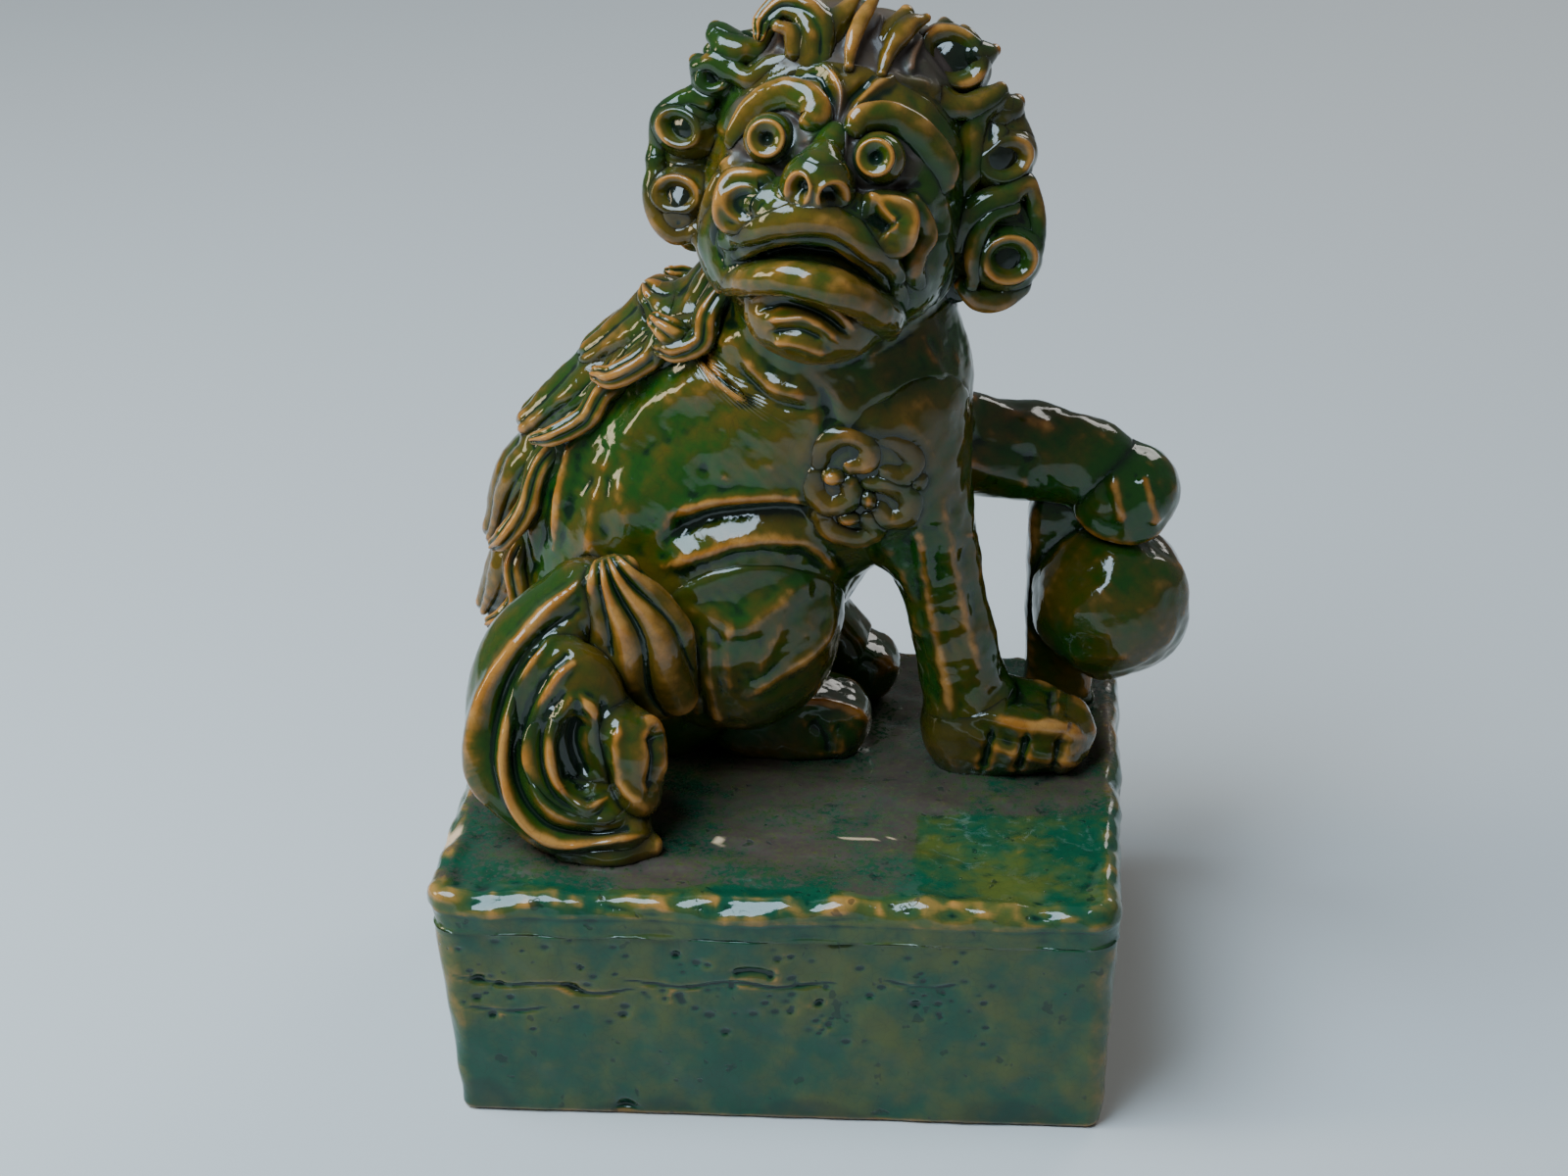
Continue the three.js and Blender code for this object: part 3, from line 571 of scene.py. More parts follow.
# %% Rims and hollows of the tail
tail_rims = [
    (2.0, 2.4, [(-41.8, -16.7, 57.2), (-50, -21.5, 51.5), (-57.5, -27.2, 44.5), (-62.8, -31.1, 37),
        (-65.4, -34.6, 29.4), (-66, -37.7, 21.5), (-64.4, -38, 12.5), (-60.5, -38, 4.5), (-54, -40, 1)]),
    (1.5, -1.6, [(-44, -20, 51), (-52, -26, 45), (-58.6, -31, 37), (-61.6, -35, 28), (-61.8, -38, 19),
        (-58.6, -39, 9.5), (-51, -42, 4)]),
    (1.4, 2.0, [(-46, -22, 49), (-49.8, -24.9, 45.8), (-56.2, -31.4, 37.6), (-59, -36.6, 28.6),
        (-58.4, -41.4, 19.4), (-54.3, -44.2, 11.3), (-46.9, -44.9, 7), (-36.4, -42.9, 6.3), (-29, -38.8, 5.7)]),
    (1.6, -2.2, [(-46, -24, 42), (-51.5, -29, 35), (-56.2, -36, 25), (-55.4, -40, 17), (-50, -43, 10.4),
        (-42, -43, 8.4), (-33, -40, 8)]),
    (1.4, 2.1, [(-44.5, -25, 40.5), (-48.6, -25.8, 37.4), (-53.2, -32.3, 31), (-53.6, -37.3, 22),
        (-50.6, -41.7, 15.4), (-44.3, -43.2, 11.3), (-35.5, -41.3, 10.6), (-30, -38, 12.6)]),
    (1.3, -1.7, [(-46.5, -28, 35), (-50.7, -33, 29.5), (-51.2, -37, 22.4), (-48.2, -40, 16.6), (-42.5, -42, 13)]),
    (1.3, 1.8, [(-44.5, -30, 34.6), (-48.4, -34.7, 29.8), (-48.8, -38.3, 22.7), (-46.4, -40.6, 16.6),
        (-41.2, -41.4, 13.5), (-37, -39, 14.5)]),
    (2.4, -3.6, [(-43.4, -31.7, 31), (-44.6, -34, 25), (-42.6, -37, 17.5)]),
    (1.3, 2.0, [(-42.5, -29, 34.8), (-39.4, -31, 31), (-38.2, -34, 25), (-36.4, -36, 18.5), (-33, -37, 13.5)]),
    (1.1, -1.2, [(-37.8, -30, 34), (-35.8, -32, 28), (-34.6, -34, 22)]),
]


curl_end_lines = [
    (1.5, 1.2, [(-34, -32, 30), (-34.5, -35, 24), (-33, -37, 17), (-29, -37, 12)]),
    (1.3, -2.0, [(-27, -32, 28), (-26, -34, 22), (-27.5, -36, 15)]),
    (1.2, 1.2, [(-30, -31, 31), (-25, -30, 27.5), (-23.4, -30, 22), (-25, -32, 16)]),
]
fan_tip = laid_flat(place(-39, -16, 66), front_way)


def swirl_relief(form, p, n):
    """The rims and hollows of the shield and its crescents."""
    return pressed(p, n, tail_rims)


def curl_end_relief(form, p, n):
    """The two rims and the hollow of the curl at the heart of the tail."""
    return pressed(p, n, curl_end_lines)


def fan_relief(form, p, n):
    """Ribs that fan out from the tip of the leaf: height × rounded ribs of the angle round it."""
    q = laid_flat(p, front_way) - fan_tip
    angle = np.arctan2(q[:, 0], -q[:, 1])
    far = np.hypot(q[:, 0], q[:, 1])
    ribs = np.abs(np.sin(angle * 9.5 + 0.5 * np.sin(far * 0.22)))
    return (2.2 * (ribs - 0.62)) * ease(far, 2, 9) * ease(n @ front_way, -0.2, 0.4)


def fold_relief(form, p, n):
    """Folds lengthwise round a rope: height × rounded ribs of the angle round its section."""
    return 0.8 * (np.abs(np.sin(2.5 * form.v + 1.4 * form.u)) - 0.6)


print("the tail has", len(tail_rims), "rims and hollows")

# %% Tail
add_hair("tail_lobe", Roll([
    (place(-27, -14, 27), 8, 5.5), (place(-30.5, -17.5, 42), 11.5, 7), (place(-36, -17, 57), 6.5, 5.5)], rows=130,
    cols=160), fan_relief, weld=2.2, hand_share=0.5)
add_hair("tail_swirl", Roll([
    (place(-44, -12, 50), 9, 9), (place(-57, -19, 38), 10, 10.5), (place(-60, -25, 20), 9, 12),
    (place(-50, -32, 8), 8.5, 11.5), (place(-34, -34, 4), 6, 8.5)], rows=210, cols=150), swirl_relief, weld=3,
    hand_share=0.6)
add_hair("tail_swirl", Egg(place(-47, -26, 24), (15, 9, 23), rows=120, cols=130), swirl_relief, weld=3,
    hand_share=0.6)
add_hair("tail_swirl", Roll([(place(-46, -38, 2.5), 3.5, 5), (place(-36, -39.5, 2), 3, 4.5),
    (place(-27.5, -37, 2.2), 1.8, 2.6)], rows=60, cols=50), weld=2.2)
add_hair("tail_crescent", Roll([
    (place(-42, -22, 38), 5, 7), (place(-50, -27, 27), 6, 9), (place(-48, -31, 14), 6, 9),
    (place(-38, -33, 9), 5, 7.5)], rows=150, cols=110), swirl_relief, weld=3, hand_share=0.6)
add_hair("tail_curl", Roll([
    (place(-36, -27, 28), 5.5, 7), (place(-31.5, -28.5, 22), 7, 8.5), (place(-31, -31, 12), 5.5, 7)], rows=110,
    cols=120), curl_end_relief, weld=1.6, hand_share=0.8)
tell("tail")

# %% [markdown]
# ## The head
# The face is an egg with sockets, furrows and trenches pressed into it, and its features are
# rolls and pads laid on top: comma brows, ringed eyes, a bulb of a nose, two whisker pads with
# deep hollows, a thick upper lip in an arch over an open mouth, and a heavy lower lip and chin.
# The lines of the skull are drawn in the face's own right and up, as a modeller sees them.

# %% Helpers for the face
up_head = head_way(0, 0, 1)
eye_at = {"right": (-14.4, 9.3), "left": (8.0, 9.0)}


def press_turn(way):
    """Three directions of a form that looks along `way`: right, minus out, up."""
    right = np.cross(up_head, way)
    right /= -np.linalg.norm(right)
    return np.stack([right, -way, np.cross(way, -right) * -1.0], 1)


def face_roll(points, **more):
    """A roll laid on the face: each station is right, up, lift off the skin, and half-widths."""
    return Roll([(on_face(*s[:3]), *s[3:]) for s in points], side=up_head, **more)


print("the eyes are", eye_at["left"][0] - eye_at["right"][0], "mm apart")

# %% Lines on the skull
skull_lines = [
    (1.0, -1.7, [(-5.3, 21.5), (-2.7, 18.5), (-2.6, 14.5), (-3.5, 10.4)]),
    (1.0, -1.7, [(4.3, 23.8), (0.7, 20.2), (-0.9, 15.3), (-1.9, 10.2)]),
    (1.1, 1.5, [(-12.4, 22.2), (-8.5, 24.2), (-5.2, 23.8), (-2.5, 21.6), (-1.2, 18.4), (-1.4, 14)]),
    (1.1, 1.5, [(9.5, 24.4), (5.5, 22.4), (2.6, 19.0), (1.0, 15.4), (0.2, 11.5), (-0.8, 8.6)]),
    (1.0, 1.2, [(-10.5, 20.5), (-6.4, 21.4), (-4.4, 18.0), (-4.6, 13.6)]),
    (2.0, 1.5, [(-6.2, 13), (-5.8, 9.5)]),
    (1.5, -1.2, [(-14, 21.6), (-8, 22.4), (-4.6, 20.2), (-4.2, 16)]),
    (1.4, -2.0, [(-21, 6.6), (-18, 12.2), (-14.6, 15.0), (-10.4, 15.6), (-8.6, 13)]),
    (1.4, -2.0, [(1.6, 11), (3.4, 14.2), (8, 14.8), (12.6, 13), (16.6, 9.4)]),
    (2.0, -2.8, [(-21.2, 5.6), (-18.4, 4.0), (-15, 2.9), (-11.4, 4.0), (-9.2, 7.4)]),
    (2.2, -3.0, [(1.6, 8), (3.4, 3.9), (7.4, 1.6), (12, 1.8), (16, 4.6)]),
    (2.6, 1.2, [(-23.5, 3), (-20, 0.5)]), (3.0, 1.0, [(18, -1), (21, 4), (20, 9)]),
    (1.6, 1.1, [(-21.7, 17.4), (-24.6, 12.4), (-26, 7)]),
    (1.4, 0.9, [(14, 21.2), (19, 18), (22.5, 14), (24.5, 9)]),
    (2.8, -3.0, [(-20, -18), (-12, -13.5), (-4, -11.0), (3, -11.4), (9, -14), (14.5, -18.5)]),
    (2.2, -1.6, [(14.6, -4), (16.6, -9), (15.6, -15), (17, -20)]),
    (1.6, -1.4, [(-23, -6), (-23.2, -12), (-21, -18)]),
    (1.4, 0.8, [(22, 2), (23.6, -3), (22.6, -8)]),
]
# Ribs of hair on the crown.
rib_lines = [
    (0.9, 1.9, [(-3.0, 37), (-1.2, 31.8), (-0.9, 26.6)]), (0.9, 1.9, [(3.4, 36), (6.1, 29.6), (6.3, 25.2)]),
    (0.9, 1.8, [(9.4, 36), (7.9, 30.4), (6.6, 26)]), (1.0, 1.8, [(-12.2, 34), (-9.8, 30.6), (-12.0, 27.4)]),
    (0.9, 1.8, [(13.4, 33.5), (11.7, 29), (11.5, 25.4)]),
    (1.2, 1.6, [(-21.6, 19.3), (-18.6, 22.6), (-14.2, 25.2), (-10, 26)]),
    (1.0, 1.5, [(-16.9, 22.6), (-15.2, 25.4), (-15.3, 29.3), (-17.7, 31.5)]),
    (1.2, 1.3, [(3.7, 25.2), (6.9, 24.8), (10.8, 23.9), (15.6, 23.6), (19, 21)]),
    (1.1, 1.5, [(17, 24.5), (20, 21), (24.2, 19.8), (28, 22.2)]),
]


def skull_relief(form, p, n):
    """Sockets, furrows and folds of the face."""
    return on_face_lines(p, skull_lines)


def ground_relief(form, p, n):
    """Ribs of hair on the crown in front, and coarse combed waves round its back."""
    right, up, out = head_sight(p)
    back = ease(-out, -2, 8)
    comb = np.abs(np.sin(np.arctan2(right, up + 6) * 9 + 0.12 * out)) - 0.6
    return on_face_lines(p, rib_lines, (-6, 0)) + 1.4 * comb * back


print(len(skull_lines), "lines on the face and", len(rib_lines), "ribs on the crown")

# %% [markdown]
# Glaze and dust don't follow the clay's bend alone. A mark says, for each point, how wet or
# dusty it is (minus is dust), how chipped, and how dark the glaze has pooled, so a hollow can
# be filled with dark glaze and a socket with dust.

# %% Dust and dark glaze on the head
def socket_marks(form, p):
    """Dust lies in the sockets and the furrow: a soft ring round each eye and a wedge between."""
    right, up, out = head_sight(p)
    dust = np.zeros(len(p))
    for r, u in eye_at.values():
        dust = np.maximum(dust, bell(np.hypot(right - r, (up - u) * 1.05) - 7.2, 2.6))
    dust = np.maximum(dust, bell(np.hypot(right + 1.2, (up - 17) * 0.45), 2.6))
    return -0.8 * dust * ease(out, 0, 8), 0.0, 0.0


def ground_marks(form, p):
    """Dust on the hair ground over the forehead."""
    right, up, out = head_sight(p)
    return -0.75 * ease(out, -8, 0) * ease(up, 20, 26), 0.0, 0.0


def hollow_marks(*dents):
    """Glaze runs thick and dark into hollows: full inside each oval, nothing outside it."""
    def marks(form, p):
        inside = [1 - ease(dent(p, at, size, 1.0)[1], 0.75, 1.15) for at, size in dents]
        return 0.0, 0.0, 0.9 * np.max(inside, axis=0)
    return marks


print("marks are ready for the sockets, the crown and the hollows")

# %% Skull
add_face("head_shell", Egg(on_head(0, skull_drop, 0), skull_half, head_turn, rows=290, cols=320, crowd=0.5),
    skull_relief, weld=4.5, hand_share=0.7, marks=socket_marks)
add_hair("crown_flame_2", Egg(on_head(0, 12, -6), (27, 22, 26), head_turn, rows=150, cols=200, crowd=0.3),
    ground_relief, weld=4.5, hand_share=0.8, marks=ground_marks)
for cheek in (-14, 14):
    add("head_shell", Egg(on_head(cheek, -12, 9), (12, 12, 14), head_turn, rows=70, cols=90), skull_relief, weld=4)
tell("head")

# %% [markdown]
# The eyes are balls with a sunk pupil and a raised ring, which a hollow reed leaves when it is
# pushed into a ball of clay. The brows and cheek folds are tapered rolls laid on the skin, so
# each station says right, up, lift off the skin and half-width.

# %% Eyes and brows
def eye_relief(form, p, n):
    """A raised ring round a sunk pupil, by the angle from the front of the ball."""
    return 0.75 * bell(form.u - 0.64, 0.13) - 2.5 * (1 - ease(form.u, 0.08, 0.58))


def pupil_marks(form, p):
    """Dark glaze fills the pupil."""
    return 0.0, 0.0, 0.85 * (1 - ease(form.u, 0.30, 0.50))


brows = {
    "right": [(-22.4, 6.8, 0.6, 1.4), (-21.6, 9.2, 1.2, 2.0), (-19.2, 13.7, 1.8, 2.5), (-15.8, 17.2, 2.2, 2.9),
        (-11.6, 19.0, 2.3, 3.1), (-7.6, 18.4, 2.2, 3.1), (-6.0, 16.0, 1.8, 2.8), (-6.9, 14.0, 1.2, 2.0)],
    "left": [(2.2, 14.2, 1.0, 1.8), (3.2, 16.4, 1.6, 2.4), (6.4, 17.5, 1.9, 2.7), (10.2, 17.4, 2.0, 2.8),
        (14.2, 15.6, 2.0, 3.1), (18.4, 12.0, 1.8, 3.5), (21.4, 7.8, 1.4, 3.3), (22.2, 4.8, 0.8, 2.2)],
}
for name in ("right", "left"):
    r, u = eye_at[name]
    add_face(name + "_eyeball", Egg(on_head(r, u, skin(r, u) - 0.4), (5.5, 5.6, 5.5),
        press_turn(head_way(-0.17, 0.12, 1)), front=True, rows=110, cols=110), eye_relief, weld=0.7,
        hand_share=0.15,
        marks=pupil_marks)
    add_face(name + "_brow", face_roll([(*b[:3], b[3] * 1.06, b[3] * 0.72) for b in brows[name]], rows=130,
        cols=64), weld=2.6, hand_share=0.6)
tell("right_eye", "left_eye", "right_brow", "left_brow")

# %% Cheek folds
folds = {
    "right": [[(-24.0, -1, 0.4, 1.2), (-24.8, -5, 0.8, 1.7), (-25.0, -10.6, 1.0, 2.0), (-23.4, -16, 1.2, 2.0),
        (-20.4, -21, 1.4, 1.5)],
              [(-22.4, -8.5, 1.2, 0.9), (-22.6, -12, 1.8, 1.2), (-21.6, -15.6, 1.8, 1.1), (-19.8, -19, 1.6, 0.8)]],
    "left": [[(16.4, 1.6, 1.2, 1.2), (19.0, -1.8, 1.6, 1.7), (20.2, -5.5, 1.8, 2.0), (18.8, -9.3, 1.8, 1.9),
        (18.4, -13.2, 1.6, 2.0), (20.4, -17.4, 1.4, 1.6)],
             [(23.4, -9.0, 0.8, 0.9), (25.2, -11.4, 1.4, 1.4), (25.4, -15.6, 1.8, 1.5), (23.6, -19.2, 1.8, 1.5),
                 (21.9, -17.0, 1.6, 1.1), (22.2, -12.6, 1.2, 1.0), (23.4, -9.4, 0.8, 0.8)],
             [(14.6, -12, 1, 1.0), (15.2, -16, 1.4, 1.4), (17.4, -20.4, 1.4, 1.2)]],
}
for name in ("right", "left"):
    for path in folds[name]:
        add_face(name + "_cheek_fold", face_roll(path, rows=110, cols=44), weld=2.6, hand_share=0.5)
tell("right_cheek", "left_cheek")

# %% [markdown]
# A whisker pad is a flattened ball with a rim, and a trough pressed in beside the nose with
# the side of a stick. Its grid has its pole in front, where the rim and the trough are.

# %% Whisker pads
troughs = {
    "right": [(1.8, -2.7, [(-10.8, -0.4), (-12.8, -0.6), (-14.8, -1.4)])],
    "left": [(2.0, -3.0, [(7.0, -1.4), (9.8, -3.0), (12.6, -5.0)]),
        (0.8, 0.8, [(7.4, 1.4), (10.4, -0.2), (13.6, -2.4)])],
}
pads = {"right": ((-16.7, -3.6), (7.6, 7.4)), "left": ((10.9, -3.9), (7.2, 6.6))}


def pad_relief(name):
    """A raised rim round the pad, with an oval hollow pressed in beside the nose."""
    def relief(form, p, n):
        (cr, cu), (a, b) = pads[name]
        right, up, out = head_sight(p)
        e = (np.abs((right - cr) / a) ** 3 + np.abs((up - cu) / b) ** 3) ** (1 / 3)
        h = 1.2 * bell(e - 0.80, 0.14) - 0.9 * (1 - ease(e, 0.4, 0.8))
        h += on_face_lines(p, troughs[name])
        if name == "right":
            hollow, ring = dent(p, (-17.6, -3.6), (3.0, 2.8), 1.0)
            h += hollow + 0.5 * bell(ring - 1.3, 0.25)
        return h
    return relief


def trough_marks(name):
    """Glaze runs dark into the pad's hollow: full where the hollow is over half its depth."""
    def marks(form, p):
        return 0.0, 0.0, 0.85 * ease(-on_face_lines(p, troughs[name][:1]), 0.8, 1.9)
    return marks


for name in ("right", "left"):
    (r, u), (a, b) = pads[name]
    add_face(name + "_whisker_pad", Egg(on_head(r, u, skin(r, u) + 0.5), (a, 6.4, b), head_turn, front=True,
        rows=110, cols=150), pad_relief(name), weld=2.8, hand_share=0.5,
        marks=trough_marks(name))
tell("right_whisker", "left_whisker")

# %% [markdown]
# The nose is a ball with two nostrils poked in, and a ridge that runs up between the eyes. The
# upper lip is a fat arched roll on a flat muzzle, with a thinner one inside it as the gum.

# %% Nose and upper lip
nostrils = [((-7.0, 1.7), (1.7, 2.3)), ((-0.1, 1.2), (2.1, 2.1))]


def nose_relief(form, p, n):
    """Two nostrils: an oval hollow with a raised ring just outside it."""
    h = np.zeros(len(p))
    for at, size in nostrils:
        hollow, ring = dent(p, at, size, 2.8, 0.3)
        h += hollow + 0.55 * bell(ring - 1.4, 0.3)
    return h


add_face("nose", Egg(on_head(-3.5, 3.0, skin(-3.5, 3) + 2.6), (7.3, 6.6, 5.6), head_turn, front=True, rows=110,
    cols=140), nose_relief, weld=3.4, hand_share=0.4, marks=hollow_marks(*nostrils))
add_face("nose", face_roll([(-1.4, 12.5, -0.6, 1.8), (-2.4, 9.4, 1.0, 2.8), (-3.4, 6.2, 4.0, 4.2)], rows=50,
    cols=48), weld=3.6)
add_face("muzzle", Egg(on_head(-3, -3.6, skin(-3, -3.6) - 2.6), (14.5, 7.5, 6.2), head_turn, front=True, rows=80,
    cols=140), weld=4.5)
add_face("muzzle", face_roll([
    (-20.2, -12.6, 1.6, 1.4), (-17.6, -10.8, 2.8, 2.1), (-14.2, -8.8, 3.6, 2.6), (-10, -6.0, 4.2, 2.8),
    (-5.6, -4.2, 4.6, 2.9), (-0.8, -4.0, 4.8, 2.9),
    (3.8, -5.3, 4.4, 2.8), (8.0, -8.0, 3.8, 2.6), (12.2, -10.9, 3.0, 2.2), (15.0, -14.0, 1.8, 1.5)], rows=150,
    cols=72), weld=3.4, hand_share=0.6)
add_face("muzzle", face_roll([
    (-21.0, -18.2, 0.0, 1.1), (-16.0, -13.6, 0.8, 1.5), (-10, -9.8, 1.6, 1.7), (-4.5, -8.0, 2.0, 1.8),
    (1.2, -8.2, 2.0, 1.8),
    (6.6, -10.6, 1.6, 1.7), (11, -13.8, 0.8, 1.5), (14.2, -18.0, -0.2, 1.1)], rows=120, cols=48), weld=1.6,
    hand_share=0.6)
tell("nose", "muzzle")

# %% Lower lip and chin
chin_lines = [
    (0.9, 1.3, [(-12.9, -24.0), (-7.9, -20.9), (-1.5, -21.1), (4.0, -23.2), (8.0, -26.2)]),
    (0.9, -1.3, [(-11.5, -25.4), (-7.4, -22.9), (-1.4, -23.1), (3.6, -25.0), (7.0, -27.6)]),
    (0.9, 1.2, [(-9.4, -27.0), (-6.4, -26.2), (-2.0, -25.3), (2.4, -26.8), (5, -29)]),
    (0.9, -1.1, [(-8.5, -29.4), (-3.0, -27.9), (2.0, -29.2)]),
    (1.1, 1.0, [(-8.0, -31.5), (-2.6, -30.8), (3.6, -32)]),
]
add_face("lower_jaw", face_roll([
    (-18.8, -22.8, 1.0, 1.4), (-16.2, -20.8, 2.4, 2.4), (-12.4, -18.8, 3.4, 3.2), (-6.4, -17.2, 4.2, 3.8),
    (0.6, -17.2, 4.4, 4.0), (6.6, -18.8, 4.2, 4.0),
    (11.6, -21.4, 3.6, 3.8), (14.8, -24.4, 2.8, 3.2), (15.6, -27.6, 1.8, 2.0)], rows=150, cols=84), weld=3,
    hand_share=0.7)
add_face("lower_jaw", Egg(on_head(-0.5, -26.5, 14.5), (14.5, 11.5, 9.5), head_turn, front=True, rows=110, cols=150),
    lambda form, p, n: on_face_lines(p, chin_lines), weld=3.4, hand_share=0.6)
tell("lower")

# %% [markdown]
# ## The mane
# The curls that frame the face are cups of clay with a fat rolled rim, pressed on so that their
# hollows look forward, each with a crescent of hair round it. Behind them the head is covered
# with coiled snail curls. Both are eggs whose grid has its pole in front, so that a rim is a
# function of the distance from the pole alone, and a coil adds the angle round it.

# %% Rims and coils
curl_radius = 8.5


def cup_relief(inner, rim, deep):
    """A hollow inside the share `inner` of the cup, and a raised rim just outside it."""
    def relief(form, p, n):
        rho = np.sin(np.minimum(form.u, np.pi / 2))
        h = -deep * (1 - ease(rho, inner - 0.24, inner + 0.06)) + rim * bell(rho - inner - 0.14, 0.11)
        h = h + 0.03 * np.cos(2 * form.v + 1)
        return form.reach * h * ease(-form.u, -1.75, -1.3)
    return relief


def snail_relief(form, p, n):
    """A coiled rim: height × cosine of (distance from the middle ÷ pitch − angle ÷ whole turn),
    with a hollow pressed into the middle."""
    rho = np.sin(np.minimum(form.u, np.pi / 2))
    coil = np.cos(2 * np.pi * (rho / 0.5 - form.v / (2 * np.pi)))
    return form.reach * ease(-form.u, -1.9, -1.3) * (0.13 * coil * ease(rho, 0.1, 0.4) - 0.35 * bell(rho, 0.22))


def cup_marks(inner):
    """Dark glaze fills a cup's hollow."""
    def marks(form, p):
        return 0.0, 0.0, 0.7 * (1 - ease(np.sin(np.minimum(form.u, np.pi / 2)), inner - 0.2, inner + 0.05))
    return marks


def curl_place(angle, behind, lift, size):
    """Where a curl sits on the skull and the way it looks: the skull's ellipsoid at an angle
    round the face and an angle behind it, plus a lift in curl radii."""
    a, b = math.radians(angle), math.radians(behind)
    right, up, out = math.cos(a) * math.cos(b), math.sin(a) * math.cos(b), -math.sin(b)
    way = head_way(right, up, out)
    seat = on_head(right * skull_half[0], skull_drop + up * skull_half[2], out * skull_half[1])
    return seat + way * lift * curl_radius * size, way


print("a curl of size 1 is", 2 * curl_radius, "mm across")

# %% Front curls
# Each row: the snail's angle, behind, lift and size, then the cup's middle, its half-widths, the
# way it looks (right, up, out), and its hollow's share, its rim and its depth.
cups = {
    "front_curl_1": ((-9, 12, 0.76, 1.4), (37.6, -9.8, 1.0), (6.6, 5.0, 8.0), (0.22, 0.0, 1.0), (0.52, 0.12, 0.5)),
    "front_curl_2": ((22, 7, 0.6, 1.12), (33.8, 10.4, 0.5), (5.4, 4.6, 7.6), (0.25, 0.1, 1.0), (0.56, 0.10, 0.4)),
    "front_curl_3": ((55, 9, 1, 1), (20.0, 29.6, 0.5), (8.2, 4.6, 6.4), (0.08, 0.2, 1.0), (0.70, 0.10, 0.5)),
    "front_curl_4": ((140, 7, 0.7, 1), (-27.4, 18.6, 0.5), (5.6, 4.4, 4.2), (-0.2, 0.2, 1.0), (0.55, 0.10, 0.45)),
    "front_curl_5": ((163, 7, 0.65, 1), (-33.0, 6.8, 0.0), (5.2, 4.8, 7.2), (-0.3, 0.1, 1.0), (0.5, 0.12, 0.5)),
    "front_curl_6": ((190, 7, 0.5, 1), (-31.6, -6.6, 0.0), (5.4, 4.8, 7.4), (-0.3, 0.0, 1.0), (0.5, 0.12, 0.5)),
}
cushions = [
    ("front_curl_1", (35.5, -8, -4), (9.5, 7, 12.5)), ("front_curl_2", (31.5, 11, -4), (8.5, 6.5, 11.5)),
    ("front_curl_3", (19, 27, -4), (9.5, 6, 7.5)), ("front_curl_4", (-25, 18.5, -4), (6.5, 5.5, 6.5)),
    ("front_curl_5", (-31.5, 6.0, -4), (6.8, 6, 8.5)), ("front_curl_6", (-30.5, -6.5, -4), (7.2, 6, 9)),
]
for name, at, half in cushions:
    add_hair(name, Egg(on_head(*at), half, head_turn, rows=60, cols=80), weld=5)
for name, (row, at, half, look, cup) in cups.items():
    centre, way = curl_place(*row)
    radius = curl_radius * row[3]
    add_hair(name, Egg(centre, (radius * 0.95, radius * 0.7, radius * 0.95), press_turn(way), front=True, rows=60,
        cols=90), snail_relief, weld=3)
    add_hair(name, Egg(on_head(*at), half, press_turn(head_way(*look)), front=True, rows=100, cols=120),
        cup_relief(*cup), weld=3, hand_share=0.6,
        marks=cup_marks(cup[0]))
tell("front_curl")

# %% [markdown]
# Ropes of hair run between the cups and end in pointed tips that stand off the outline. Each is
# a piece, a thickness, and stations of right, up, out and a share of the thickness.

